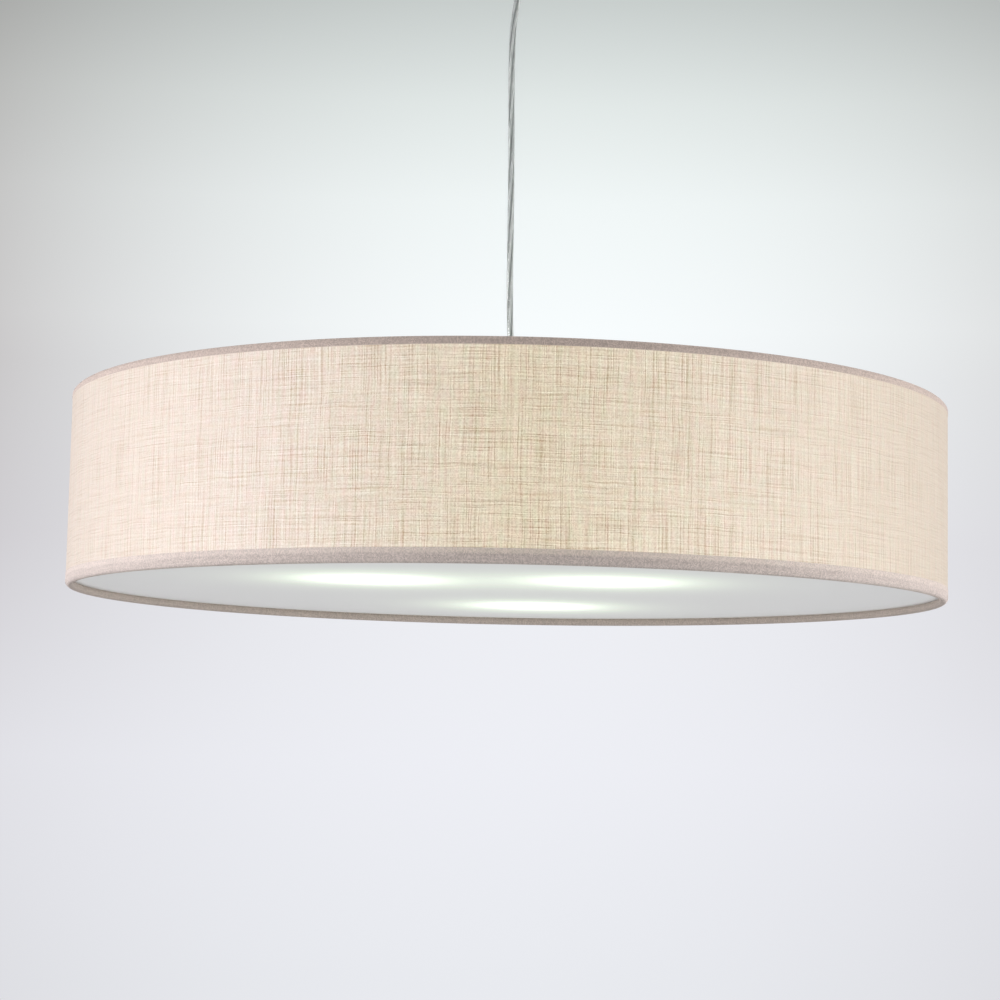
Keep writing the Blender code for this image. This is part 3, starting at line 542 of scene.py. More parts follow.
def linen_look():
    """Linen over film, lit from inside, and darker where the hems are doubled over the wires."""
    look = Look("lit_linen", Roughness=0.9, Sheen_Weight=0.12, Sheen_Roughness=0.5, Specular_IOR_Level=0.1,
                Sheen_Tint=rgba((0.98, 0.86, 0.9)), Emission_Strength=1.0)
    # Each thread has a shade of its own that drifts along it.
    height, x = look.part("Z"), look.part("X")
    unevenness = look.times(look.math("SUBTRACT", look.noise(0.030), 0.5), 0.0030)
    across = look.over(look.math("ADD", along_cloth(look), unevenness), THREAD_PITCH)
    upward = look.over(look.math("SUBTRACT", height, unevenness), THREAD_PITCH)
    warp_index, weft_index = look.math("FLOOR", across), look.math("FLOOR", upward)
    warp_along, weft_along = look.over(upward, 75.0), look.over(across, 58.0)

    def warp_shade(step):
        return look.flat_noise(look.math("MULTIPLY_ADD", warp_index, WARP_STEP, step), warp_along)

    def weft_shade(step):
        return look.flat_noise(weft_along, look.math("MULTIPLY_ADD", weft_index, WEFT_STEP, step))

    warp, warp_beside = warp_shade(0.0), warp_shade(WARP_STEP)
    weft, weft_beside = weft_shade(0.0), weft_shade(WEFT_STEP)
    crossing = look.flat_noise(warp_index, weft_index, white=True)
    warp_edge, weft_edge = (look.math("COSINE", look.times(way, 2 * pi)) for way in (across, upward))
    aside = look.math("ABSOLUTE", x)
    contrast = look.ramp(aside, 0.15, 0.34, 1.0, 0.66, False)
    warp_slub, weft_slub = look.ramp(warp, 0.12, 0.26), look.ramp(weft, 0.12, 0.26)
    thick_warp = look.add_up((warp, 0.76), (warp_beside, -0.34), (warp_edge, -0.10), (warp_slub, 0.15))
    thick_weft = look.add_up(
        (weft, 0.68), (weft_beside, -0.30), (crossing, 0.36), (weft_edge, -0.10), (weft_slub, 0.13)
    )
    # Seen from the front the weft is the stronger of the two, and towards the sides the warp.
    thick = look.add_up(
        (thick_warp, look.ramp(aside, 0.0, 0.10, 0.92, 1.0, False)),
        (thick_weft, look.ramp(aside, 0.03, 0.20, 1.08, 0.78, False)),
    )
    thick = look.times(thick, contrast)
    # Some groups of threads are pinker than others, and some creamier.
    pinker = look.flat_noise(look.over(across, 5.0), look.over(upward, 18.0))
    creamier = look.flat_noise(look.over(across, 18.0), look.over(upward, 5.0))
    # Light passes the single cloth between the hems, and a little of it passes the doubled cloth that
    # lies over the bottom bead.
    wall = look.times(
        look.ramp(height, WALL_LOW - HEM_BLUR, WALL_LOW + HEM_BLUR),
        look.ramp(height, WALL_HIGH - HEM_BLUR, WALL_HIGH + HEM_BLUR, 1.0, 0.0),
    )
    bead = SHADE_BOTTOM + BOTTOM_BEAD
    lit_hem = look.ramp(height, bead - 3 * HEM_BLUR, bead + 3 * HEM_BLUR, 0.0, BAND_SHARE)
    lit_hem = look.times(lit_hem, look.ramp(height, WALL_LOW + 0.04, WALL_LOW + 0.05, 1.0, 0.0))
    through = look.math("MAXIMUM", wall, lit_hem)
    doubled = look.blend(look.ramp(height, WALL_LOW, WALL_HIGH), HEM_CLOTH_LOW, HEM_CLOTH_HIGH)
    # Where the hem turns in, facing into the drum, the cloth takes a darker colour: painted shade on the
    # inner band.
    outside = look.ramp(look.level_reach(), SHADE_RADIUS - 0.0030, SHADE_RADIUS - 0.0010)
    cloth_and_inside_shade = look.blend(wall, look.blend(outside, HEM_INSIDE_PAINTED_SHADE, doubled), WALL_CLOTH)
    # The hems' threads vary in tone at random, and the borders between threads are darker: painted shade in
    # the gaps between threads.
    hem_threads = (warp, 0.18), (weft, 0.18), (crossing, 0.38), (warp_edge, -0.09), (weft_edge, -0.09)
    speckle_and_gap_shade = look.times(look.add_up(*hem_threads), look.ramp(wall, 0, 1, 1, 0))
    # The cloth darkens within a millimetre or two of its bottom edge: painted shade under the bead, where it
    # meets the disc.
    painted_edge_shade = look.ramp(height, SHADE_BOTTOM + 0.0004, SHADE_BOTTOM + 0.0016, 0.88, 1.0)
    look.into("Base Color", look.scaled(cloth_and_inside_shade, look.times(painted_edge_shade, look.math("ADD", speckle_and_gap_shade, 1.0))))
    # The light is whiter towards the two sides, where it comes straight from the lamps.
    left, right = look.ramp(x, -0.20, 0.0, 1.0, 0.0, False), look.ramp(x, 0.02, 0.20, 0.0, 0.5, False)
    glow = look.blend(look.math("ADD", left, right), LINEN_GLOW, LINEN_GLOW_SIDE)
    lamps = look.times(lamp_light(look, 0.05, 1.0, True), LINEN_GLOW_GAIN)
    level = look.ramp(height, SHADE_BOTTOM, SHADE_TOP, 1.03, 0.97, False)
    # Thick threads hold back more of the blue and green than of the red.
    let_through = look.vector("SUBTRACT", (1, 1, 1), look.scaled(HELD_BACK, thick))
    tints = look.vector("ADD", look.scaled(PINKER, pinker), look.scaled(CREAMIER, creamier))
    let_through = look.vector("ADD", let_through, look.scaled(tints, contrast))
    amount = look.times(look.times(lamps, level), through)
    look.into("Emission Color", look.vector("MULTIPLY", look.scaled(glow, amount), let_through))
    look.bump(look.add_up((warp_edge, -0.10), (weft_edge, -0.10), (warp, 0.5), (weft, 0.5)), 0.0003, 0.4)
    return look.material


def film_look():
    """The white film inside the shade, washed by the lamps."""
    look = Look("lit_film", Roughness=0.55, Emission_Strength=1.0)
    patch = look.noise(0.05)
    look.paint(patch, (0.74, 0.73, 0.69), (0.80, 0.79, 0.76))
    wash = look.ramp(lamp_light(look, 0.12, 1.0, False), 0.10, 0.60, 0.18, 0.62)
    look.into("Emission Color", look.scaled((1.0, 0.97, 0.86), wash))
    look.bump(patch, 0.0006, 0.2)
    return look.material


def opal_look():
    """The opal disc, with the lamps' glow showing through it."""
    look = Look("lit_opal", Roughness=0.6, Specular_IOR_Level=0.2, Emission_Strength=1.0)
    frost = look.noise(0.002)
    look.paint(frost, (0.60, 0.595, 0.59), (0.63, 0.625, 0.62))
    spot = lamp_light(look, 0.060, 2.2, True, GLOW_SHIFT)
    halo = lamp_light(look, 0.085, 2.0, True, GLOW_SHIFT)
    tint = look.blend(look.ramp(spot, 0.05, 0.7), OPAL_TINT, OPAL_TINT_BRIGHT)
    glow = look.scaled(tint, look.add_up((spot, 1.25), (halo, 0.55)))
    look.into("Emission Color", look.vector("ADD", glow, OPAL_GLOW))
    look.bump(frost, 0.00005, 0.15)
    return look.material


def globe_look():
    """Opal glass with the lamp lit inside."""
    look = Look("lit_globe", Roughness=0.18, Emission_Strength=0.42)
    frost = look.noise(0.004, 1.0)
    look.paint(frost, (0.86, 0.85, 0.81), (0.90, 0.89, 0.85))
    look.paint(frost, (1.0, 0.93, 0.78), (1.0, 0.95, 0.82), "Emission Color")
    return look.material


def clear_look():
    """The cord's clear jacket."""
    look = Look("clear_jacket", Transmission_Weight=1.0, IOR=1.45)
    film = look.noise((0.003, 0.003, 0.02), 1.0)
    look.into("Roughness", look.ramp(film, 0.3, 0.7, 0.07, 0.12))
    look.paint(film, (0.93, 0.95, 0.94), (0.97, 0.98, 0.98))
    return look.material


def solid(name, colour, roughness, metallic=0.0, cell=0.004, spread=0.05, relief=0.00004, **sockets):
    """A plain finish with the slight mottling, unevenness and relief that a real one has."""
    look = Look(name, Metallic=metallic, **sockets)
    mottle = look.noise(cell, 3.0)
    fine = look.noise(tuple(side / 6 for side in each_way(cell)))
    dark = tuple(part * (1 - spread) for part in colour)
    pale = tuple(min(1.0, part * (1 + spread)) for part in colour)
    look.paint(look.ramp(mottle, 0.3, 0.7), dark, pale)
    smoother, rougher = max(0.02, roughness - ROUGHNESS_SPREAD), roughness + ROUGHNESS_SPREAD
    look.into("Roughness", look.ramp(mottle, 0.3, 0.7, smoother, rougher))
    look.bump(fine, relief, 0.5)
    return look.material


def strand_look(name, colour):
    """A core of fine tinned strands under a clear skin."""
    cell = (0.0006, 0.0006, 0.012)
    return solid(name, colour, 0.36, 0.3, cell=cell, spread=0.25, relief=0.00003, Coat_Weight=0.3)


def make_looks():
    return {
        "linen": linen_look(),
        "film": film_look(),
        "opal": opal_look(),
        "globe": globe_look(),
        "clear": clear_look(),
        "enamel": solid("powder_coat", (0.80, 0.80, 0.78), 0.38, cell=0.003, spread=0.02, relief=0.00012),
        "wire": solid("coated_wire", (0.74, 0.74, 0.72), 0.42, cell=0.006, spread=0.04, relief=0.00010),
        "zinc": solid("zinc_plate", (0.56, 0.57, 0.59), 0.32, 1.0, spread=0.04, relief=0.00002),
        "brass": solid("bright_brass", (0.78, 0.57, 0.26), 0.26, 1.0, spread=0.08),
        "alloy": solid("drawn_alloy", (0.66, 0.66, 0.67), 0.30, 1.0, spread=0.03, relief=0.00002),
        "plastic": solid("moulded_white", (0.82, 0.82, 0.80), 0.40, spread=0.02),
        "terminal": solid("terminal_white", (0.76, 0.76, 0.71), 0.36, spread=0.04, Subsurface_Weight=0.15),
        "thermoset": solid("thermoset", (0.78, 0.77, 0.73), 0.34, cell=0.008, spread=0.03, relief=0.00008),
        "black": solid("black_glass", (0.02, 0.02, 0.022), 0.15, spread=0.1),
        "strand_1": strand_look("pale_strand", (0.70, 0.725, 0.71)),
        "strand_2": strand_look("grey_strand", (0.66, 0.68, 0.675)),
        "strand_3": strand_look("silver_strand", (0.75, 0.765, 0.75)),
        # The dark core of the cord: painted shade between the three strands.
        "gap_shade": solid("cord_gap_shade", (0.31, 0.33, 0.32), 0.7, cell=(0.002, 0.002, 0.01), spread=0.2),
        "copper": solid("bare_copper", (0.72, 0.38, 0.24), 0.32, 1.0, spread=0.10),
        "brown": solid("core_brown", (0.20, 0.09, 0.045), 0.36, spread=0.12),
        "blue": solid("core_blue", (0.05, 0.15, 0.46), 0.36, spread=0.12),
        "green": solid("core_green", (0.20, 0.42, 0.07), 0.36, spread=0.12),
        "yellow": solid("core_yellow", (0.78, 0.62, 0.06), 0.36, spread=0.08),
    }


# Camera.
def make_camera():
    yaw, pitch, roll = (radians(x) for x in (CAMERA_YAW, CAMERA_PITCH, CAMERA_ROLL))
    forward = Vector((sin(yaw) * cos(pitch), cos(yaw) * cos(pitch), sin(pitch)))
    right = Vector((cos(yaw), -sin(yaw), 0))
    up = right.cross(forward)
    turned_right = right * cos(roll) + up * sin(roll)
    turned_up = up * cos(roll) - right * sin(roll)
    data = bpy.data.cameras.new("photo_camera")
    data.lens = CAMERA_LENS
    data.sensor_width = CAMERA_SENSOR
    camera = link(bpy.data.objects.new("photo_camera", data))
    axes = Matrix((turned_right, turned_up, -forward)).transposed().to_4x4()
    camera.matrix_world = Matrix.Translation(CAMERA_PLACE) @ axes
    bpy.context.scene.camera = camera


# Cord.
def make_cord():
    """The clear jacket and the three twisted cores that show through it."""
    route = [(0, 0, CORD_TOP), *[(x, 0, z) for x, z in CORD_ROUTE], (0, 0, CORD_BOTTOM)]
    line = smooth_through(route, CORD_SPACING)
    jacket = tube("cord_jacket", line, CORD_RADIUS, "clear", 24)
    dress(jacket, "hanging_cord", "clear_jacket", "cord")
    cores = []
    for i in range(3):
        points = []
        for point in line:
            angle = 2 * pi * (i / 3 + CORE_TWIST_START + point.z / CORE_TWIST_LENGTH)
            points.append(point + Vector((cos(angle), sin(angle), 0)) * CORE_OFFSET)
        cores.append(tube(f"cord_core_{i + 1}", points, CORE_RADIUS, f"strand_{i + 1}", 12))
    # A dark core down the middle: painted shade that shows in the gaps between the strands.
    cores.append(tube("cord_gap_shade", line, GAP_SHADE_RADIUS, "gap_shade", 12))
    for core in cores:
        dress(core, "hanging_cord", "clear_jacket")
    ball = [(0, -CORD_RADIUS), *arc(0, 0, CORD_RADIUS, -75, 75, 10), (0, CORD_RADIUS)]
    for word, height in (("upper", UPPER_PIVOT), ("lower", LOWER_PIVOT)):
        node = "cord_bend_" + word
        bend = lathe(node + "_jacket", ball, "strand_3", 24, None, Matrix.Translation((0, 0, height)))
        dress(bend, word + "_bend", "clear_jacket", node)
    for node, body in (("upper_cord_tail", "canopy"), ("lower_cord_tail", "lower_tail")):
        low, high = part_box(node)
        profile = rounded(band(0, CORD_RADIUS, low.z, high.z), 0.0004)
        dress(lathe(node + "_jacket", profile, "strand_3", 24), body, "clear_jacket", node)


# Shade.
def seam_lap(angle, half_width):
    """1 within half_width of the seam's middle and 0 beyond it, with a steep edge between."""
    from_seam = (angle - radians(SEAM_AZIMUTH) + pi) % (2 * pi) - pi
    return max(0.0, min(1.0, (half_width - abs(from_seam) * SHADE_RADIUS) / SEAM_EDGE + 0.5))


def shade_shape(angle, radius, height):
    """Lets the hems stand a little proud, and lays the cloth's two ends over each other at the seam."""
    proud = 0.0
    if radius > SHADE_RADIUS - FABRIC / 2:
        from_top, from_bottom = SHADE_TOP - height, height - SHADE_BOTTOM
        proud = HEM_PROUD if from_top < TOP_HEM or from_bottom < BOTTOM_HEM else 0.0
        proud += seam_lap(angle, SEAM_WIDTH / 2) * SEAM_RISE
    return radius + proud, height


def make_shade():
    ring_radius = SHADE_RADIUS - WIRE_RADIUS - HEM_ROOM - FABRIC
    inner, outer = WIRE_RADIUS + HEM_ROOM, WIRE_RADIUS + HEM_ROOM + FABRIC
    top_ring, bottom_ring = SHADE_TOP - outer, SHADE_BOTTOM + outer
    wall = [
        (SHADE_RADIUS, bottom_ring + 0.001), (SHADE_RADIUS, WALL_LOW - HEM_STEP),
        (SHADE_RADIUS, WALL_LOW + HEM_STEP),
        *ladder(SHADE_RADIUS, WALL_LOW + 0.004, WALL_HIGH - 0.004, 0.012),
        (SHADE_RADIUS, WALL_HIGH - HEM_STEP), (SHADE_RADIUS, WALL_HIGH + HEM_STEP),
        (SHADE_RADIUS, top_ring - 0.001),
    ]
    profile = [
        *arc(ring_radius, bottom_ring, outer, -260, 0, 28), *wall,
        *arc(ring_radius, top_ring, outer, 0, 200, 22), *arc(ring_radius, top_ring, inner, 200, 0, 22),
        *[(SHADE_RADIUS - FABRIC, height) for _, height in reversed(wall)],
        *arc(ring_radius, bottom_ring, inner, 0, -260, 28),
    ]
    cloth = lathe("linen_shade", profile, "linen", 288, shade_shape)
    dress(cloth, "shade", "shade_fabric", "shade_fabric")
    for word, height in (("top", top_ring), ("bottom", bottom_ring)):
        section = arc(ring_radius, height, WIRE_RADIUS, 0, 360, 14)[:-1]
        dress(lathe(f"{word}_ring_wire", section, "wire", 240), "shade", "white_wire", f"{word}_ring")
    low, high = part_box("shade_liner")

    def lapped(angle, radius, height):
        return radius - seam_lap(angle, SEAM_WIDTH) * LINER_LAP * (radius < high.x - LINER / 2), height

    wall = ladder(high.x, low.z, high.z, 0.02)
    profile = wall + [(high.x - LINER, height) for _, height in reversed(wall)]
    dress(lathe("film_liner", profile, "film", 288, lapped), "shade", "liner_film", "shade_liner")


def make_diffuser():
    low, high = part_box("diffuser")
    profile = rounded(band(0, high.x, low.z, high.z), 0.0009, 4)
    rings = [(high.x * share, low.z) for share in (0.25, 0.5, 0.75, 0.97)]
    profile[1:1] = rings
    profile[-1:-1] = [(radius, high.z) for radius, _ in reversed(rings)]
    dress(lathe("opal_diffuser", profile, "opal", 240), "diffuser", "opal_acrylic", "diffuser")


# Carrier.
def make_nut(node, body):
    """A hexagon nut. The flats cut the cone ends of its turned profile into the chamfers."""
    low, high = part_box(node)
    flats = min(high.y - low.y, high.x - low.x)
    corner, face, chamfer, lead_in = flats / 2 / cos(pi / 6), flats / 2 * 0.96, 0.0006, 0.0004

    def shape(angle, radius, height):
        across = flats / 2 / cos((angle % (pi / 3)) - pi / 6)
        return (min(radius, across) if radius > flats * 0.42 else radius), height

    profile = [
        (TUBE_HOLE + lead_in, low.z), (face, low.z), (corner, low.z + chamfer), (corner, high.z - chamfer),
        (face, high.z), (TUBE_HOLE + lead_in, high.z), (TUBE_HOLE, high.z - lead_in),
        (TUBE_HOLE, low.z + lead_in),
    ]
    dress(lathe(node + "_hex", profile, "zinc", 72, shape), body, "plated_steel", node)


def make_threaded_tube(name, node, low, high, place=None):
    """A lamp tube, threaded along its length, with the cord's bore through it."""
    profile = [
        (TUBE_BORE, low), (TUBE_RADIUS - 0.0006, low),
        *ladder(TUBE_RADIUS, low + 0.0005, high - 0.0005, TUBE_PITCH / 5), (TUBE_RADIUS - 0.0006, high),
        (TUBE_BORE, high),
    ]
    shape = threaded(TUBE_PITCH, TUBE_THREAD, low + 0.0004, high - 0.0004, TUBE_BORE + 0.0005)
    dress(lathe(name, profile, "zinc", 24, shape, place), "shade", "plated_steel", node)


def make_spider():
    low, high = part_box("spider_plate")
    radius, groove = high.x, high.z - 0.0005
    outline = [
        (TUBE_HOLE, low.z), (radius, low.z), (radius, high.z), (radius * 0.62, high.z),
        (radius * 0.58, groove), (radius * 0.50, groove), (radius * 0.46, high.z), (TUBE_HOLE, high.z),
    ]
    plate = lathe("spider_disc", rounded(outline, 0.0005), "zinc", 72)
    dress(plate, "shade", "plated_steel", "spider_plate")
    low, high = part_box("spider_washer")
    washer = lathe("spider_washer_ring", rounded(band(TUBE_HOLE, high.x, low.z, high.z), 0.0003), "zinc", 48)
    dress(washer, "shade", "plated_steel", "spider_washer")
    for i, azimuth in enumerate(SPIDER_AZIMUTHS, start=1):
        node = f"spider_arm_{i}"
        near, far = extent(node, azimuth)
        low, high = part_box(node)
        arm_low, arm_high = low.z + WIRE_RADIUS, high.z - WIRE_RADIUS
        corners = [
            level_point(azimuth, near + 0.0006, arm_low),
            level_point(azimuth, radius + 0.030, arm_low),
            level_point(azimuth, far - 0.042, arm_high),
            level_point(azimuth, far - 0.0002, arm_high),
        ]
        arm = tube(f"{node}_wire", bent(corners, 0.030, 10), WIRE_RADIUS, "wire", 20)
        dress(arm, "shade", "white_wire", node)


def make_stem():
    low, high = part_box("stem_tube")
    make_threaded_tube("stem_thread", "stem_tube", low.z, high.z)


def make_grip(node, body, threaded_neck):
    """A moulded cord grip with a flared mouth, flutes for the fingers and a grub screw."""
    low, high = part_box(node)
    radius = high.x
    screw_node = node + "_screw"
    screw_z = sum(corner.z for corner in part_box(screw_node)) / 2
    bore, mouth, neck = 0.0033, 0.0065, 0.0050
    # The fluted part ends at the collar, where the canopy's grip goes on as a threaded neck.
    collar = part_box("canopy")[0].z - 0.0003 if threaded_neck else high.z
    if threaded_neck:
        profile = [
            (bore, high.z), (bore, low.z + 0.006), (mouth, low.z), (radius - 0.001, low.z),
            (radius, low.z + 0.001), *ladder(radius, low.z + 0.0022, collar - 0.0010, 0.0012),
            (radius, collar), (neck, collar), *ladder(neck, collar + 0.0006, high.z - 0.0004, 0.0002),
            (neck - 0.0004, high.z),
        ]
    else:
        profile = [
            (TUBE_HOLE, low.z), (radius - 0.0006, low.z), (radius, low.z + 0.0006),
            *ladder(radius, low.z + 0.0022, high.z - 0.0022, 0.0012), (radius, high.z - 0.001),
            (radius - 0.001, high.z), (mouth, high.z), (bore, high.z - 0.006), (bore, low.z + 0.008),
            (TUBE_HOLE, low.z + 0.008),
        ]
    thread = threaded(TUBE_PITCH, TUBE_THREAD, collar + 0.0002, high.z - 0.0002, bore + 0.0008)

    def shape(angle, r, h):
        if threaded_neck and h > collar + 0.0002:
            return thread(angle, r, h)
        if r > radius - 0.0003 and low.z + 0.0015 < h < collar - 0.0015:
            return fluted(angle, r, 18, 0.0005), h
        return r, h

    grip = lathe(node + "_moulding", profile, "plastic", 108, shape)
    carve(grip, rod("screw_way", 0.0022, 0, radius + 0.002, outwards(90, screw_z)))
    dress(grip, body, "white_plastic", node)
    tip, head = extent(screw_node, 90)
    profile = rounded([(0, tip), (0.0012, tip), (0.0019, tip + 0.0008), (0.0019, head), (0, head)], 0.0002)
    screw = lathe(screw_node + "_thread", profile, "zinc", 32, None, outwards(90, screw_z))
    slot_low = (-0.0018, head - 0.0007, screw_z - 0.0003)
    slot_high = (0.0018, head + 0.001, screw_z + 0.0003)
    carve(screw, block("slot", slot_low, slot_high, "zinc"))
    dress(screw, body, "plated_steel", screw_node)


# Lamp body.
def make_body():
    low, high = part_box("body_can")
    radius, corner, bead = high.x, 0.003, 0.0004
    profile = [
        (radius - SHEET_METAL, low.z), (radius, low.z),
        *ladder(radius, low.z + 0.0015, high.z - corner - 0.001, 0.006),
        *arc(radius - corner, high.z - corner, corner, 0, 90, 8), (radius * 0.50, high.z),
        (radius * 0.46, high.z - bead), (radius * 0.40, high.z - bead), (radius * 0.36, high.z),
        (TUBE_HOLE, high.z), (TUBE_HOLE, high.z - SHEET_METAL),
        *arc(radius - corner, high.z - corner, corner - SHEET_METAL, 90, 0, 8),
    ]
    can = lathe("lamp_body_can", profile, "enamel", 120)
    ways = []
    for azimuth in LAMP_AZIMUTHS:
        ways.append(rod("arm_way", TUBE_HOLE, radius - 0.005, radius + 0.002, outwards(azimuth, LAMP_Z)))
    dress(carve(can, *ways), "shade", "white_metal", "body_can")
    low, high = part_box("body_cover")
    inner = radius - SHEET_METAL - 0.0003
    flange = low.z + 0.0012
    outline = [
        (0, low.z), (radius * 0.30, low.z), (radius * 0.34, low.z + bead), (radius * 0.80, low.z + bead),
        (radius * 0.84, low.z), (radius, low.z), (radius, flange), (inner, flange), (inner, high.z),
        (inner - SHEET_METAL, high.z), (inner - SHEET_METAL, flange), (0, flange),
    ]
    cover = lathe("lamp_body_cover", rounded(outline, 0.0004), "enamel", 120)
    dress(cover, "shade", "white_metal", "body_cover")


def wire_ways(azimuths, reach, radius):
    """Round ways in a block's face, as (x, y, radius)."""
    return [(*level_point(azimuth, reach, 0)[:2], radius) for azimuth in azimuths]


def make_block(node, body, ports, face, into):
    """A push-in connector: a moulded block with wire ways in one face and grooves down its two sides."""
    low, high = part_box(node)
    shell = block(node + "_shell", low, high, "terminal", 0.0011)
    tools = []
    for x, y, radius in ports:
        start, end = sorted((face - into * 0.0002, face + into * 0.0035))
        tools.append(rod("wire_way", radius, start, end, Matrix.Translation((x, y, 0))))
    for share in (-1 / 3, 1 / 3):
        y = (high.y - low.y) / 2 * share
        for side in (-1, 1):
            start, end = sorted((side * (high.x - 0.0006), side * (high.x + 0.001)))
            groove_low, groove_high = (start, y - 0.0003, low.z - 0.001), (end, y + 0.0003, high.z + 0.001)
            tools.append(block("groove", groove_low, groove_high, "terminal"))
    dress(carve(shell, *tools), body, "terminal_plastic", node)


def make_cores(prefix, in_canopy):
    """The three insulated cores, side by side at the cord's end and spread at the terminal block."""
    for angle, word, colour in LOOSE_CORES:
        node = prefix + word
        low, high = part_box(node)
        start_z, end_z = (low.z, high.z) if in_canopy else (high.z, low.z)
        start = level_point(angle, CORE_REACH_AT_CORD, start_z)
        end = level_point(angle, CORE_REACH_AT_BLOCK, end_z)
        lift = Vector((0, 0, (end_z - start_z) / 2))
        line = bezier(start, start + lift, end - lift, end)
        core = tube(f"{node}_wire", line, LOOSE_CORE_RADIUS, colour, 16)
        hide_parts(node)
        if in_canopy:
            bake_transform(core)
        else:
            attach(core, "shade")


def make_lead(i, azimuth, start_z):
    """A lampholder's lead, up out of the block, round a bend and straight on to the holder."""
    node = f"lampholder_lead_{i}"
    near, far = LEAD_REACH, extent(node, azimuth)[1]
    bend = 0.010
    line = bezier(
        level_point(azimuth, near, start_z),
        level_point(azimuth, near, LAMP_Z),
        level_point(azimuth, near + bend / 2, LAMP_Z),
        level_point(azimuth, near + bend, LAMP_Z),
    )
    line += [level_point(azimuth, near + bend + (far - near - bend) * k / 6, LAMP_Z) for k in range(1, 7)]
    dress(tube(f"{node}_wire", line, LEAD_RADIUS, "plastic", 20), "shade", "white_plastic", node)


# Lamp arms.
def make_holder(i, azimuth, place):
    node = f"lampholder_{i}"
    back, front = extent(node, azimuth)
    floor = extent(f"lampholder_insert_{i}", azimuth)[0] - 0.0003
    socket = floor - 0.006
    outside, back_radius, cavity, contact = 0.0195, 0.0165, 0.0143, 0.0028
    profile = [
        (TUBE_HOLE, back), (back_radius - 0.0012, back), (back_radius, back + 0.0012),
        (back_radius, socket), (outside - 0.0004, socket + 0.0092), (outside, socket + 0.0100),
        *ladder(outside, socket + 0.0115, front - 0.0012, 0.0005), (outside - 0.0008, front),
        (cavity + 0.0006, front), (cavity, front - 0.0006), (cavity, floor), (contact, floor),
        (contact, socket), (TUBE_HOLE, socket),
    ]
    thread = threaded(0.0032, 0.0009, socket + 0.0125, front - 0.0035, cavity + 0.001)

    def shape(angle, radius, height):
        if radius > back_radius - 0.0002 and height <= socket + 0.0005:
            return fluted(angle, radius, 24, 0.0005), height
        return thread(angle, radius, height)

    holder = lathe(f"{node}_body", profile, "thermoset", 120, shape, place)
    dress(holder, "shade", "lampholder_plastic", node)


def make_socket_parts(i, azimuth, place):
    node = f"lampholder_insert_{i}"
    low, high = extent(node, azimuth)
    outer, inner, hole, wall = 0.0140, 0.0135, 0.0050, 0.0005
    rungs = ladder(outer, low + 0.001, high - 0.0008, 0.0006)
    profile = [
        (hole, low), (outer - 0.0006, low), *rungs, (outer, high), (inner, high),
        *[(inner, height) for _, height in reversed(rungs)], (inner - 0.0006, low + wall),
        (hole, low + wall),
    ]
    dress(lathe(f"{node}_shell", profile, "brass", 60, None, place), "shade", "contact_brass", node)
    node = f"lampholder_contact_{i}"
    low, high = extent(node, azimuth)
    tip, pin = 0.0025, 0.0016
    profile = [(0, low), (pin, low), (pin, high - 0.004), (tip, high - 0.003)]
    profile += [*arc(0, high - tip, tip, 0, 80, 6), (0, high)]
    pin_piece = lathe(f"{node}_pin", profile, "brass", 32, None, place)
    dress(pin_piece, "shade", "contact_brass", node)


def rolled(low, high, inside):
    """The rolled round thread of a lamp's screw cap."""

    def shape(angle, radius, height):
        if radius > inside and low < height < high:
            phase = 2 * pi * (height / 0.0036 - angle / (2 * pi))
            run_out = max(0.0, min(1.0, (height - low) / 0.0018, (high - height) / 0.0018))
            radius -= 0.00035 * (1 + cos(phase)) * run_out
        return radius, height

    return shape


def make_bulb(i, azimuth, place):
    body, node = f"bulb_{i}", f"bulb_cap_{i}"
    low, high = extent(node, azimuth)
    radius, tip, shoulder = 0.0132, 0.0045, 0.0045
    profile = [
        (0, low), (tip * 0.62, low), (tip * 0.80, low + 0.0005), (tip, low + 0.0009),
        (radius * 0.86, low + shoulder * 0.86),
        *ladder(radius, low + shoulder + 0.0006, high - 0.0004, 0.0006), (radius - 0.0005, high), (0, high),
    ]
    cap = lathe(f"{node}_screw", profile, "alloy", 72, rolled(low + shoulder, high - 0.004, 0.011), place)
    dress(cap, body, "cap_aluminium", node)
    outline = [
        (tip * 0.55, low - 0.00012), (tip * 0.97, low + 0.0006), (radius * 0.80, low + shoulder * 0.80),
        (radius * 0.62, low + shoulder * 0.9),
    ]
    insulator = lathe(f"{body}_insulator", rounded(outline, 0.0002), "black", 48, None, place)
    dress(insulator, body, "cap_aluminium")
    node = f"bulb_globe_{i}"
    near, far = extent(node, azimuth)
    box_low, box_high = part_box(node)
    globe_radius = (box_high.z - box_low.z) / 2
    centre = far - globe_radius
    neck, wall = 0.0130, 0.0008
    start = centre - globe_radius * 0.5
    widening = globe_radius * cos(pi / 6) - neck
    throat = []
    for k in range(13):
        t = k / 12
        smooth = t * t * (3 - 2 * t)
        throat.append((neck + widening * (0.55 * smooth + 0.45 * t**2.2), near + (start - near) * t))
    walls = []
    for thick in (0.0, wall):
        ball = arc(0, centre, globe_radius - thick, -30, 90, 20)[1:]
        ball[-1] = (0, centre + globe_radius - thick)
        walls.append([(r - thick, h) for r, h in throat] + ball)
    outside, inside = walls
    globe = lathe(f"{node}_glass", list(reversed(outside)) + inside, "globe", 64, None, place)
    dress(globe, body, "opal_glass", node)


def make_lamp_arms(block_top):
    for i, azimuth in enumerate(LAMP_AZIMUTHS, start=1):
        place = outwards(azimuth, LAMP_Z)
        near, far = extent(f"arm_tube_{i}", azimuth)
        make_threaded_tube(f"arm_tube_{i}_thread", f"arm_tube_{i}", near, far, place)
        make_holder(i, azimuth, place)
        make_socket_parts(i, azimuth, place)
        make_lead(i, azimuth, block_top + 0.0003)
        make_bulb(i, azimuth, place)


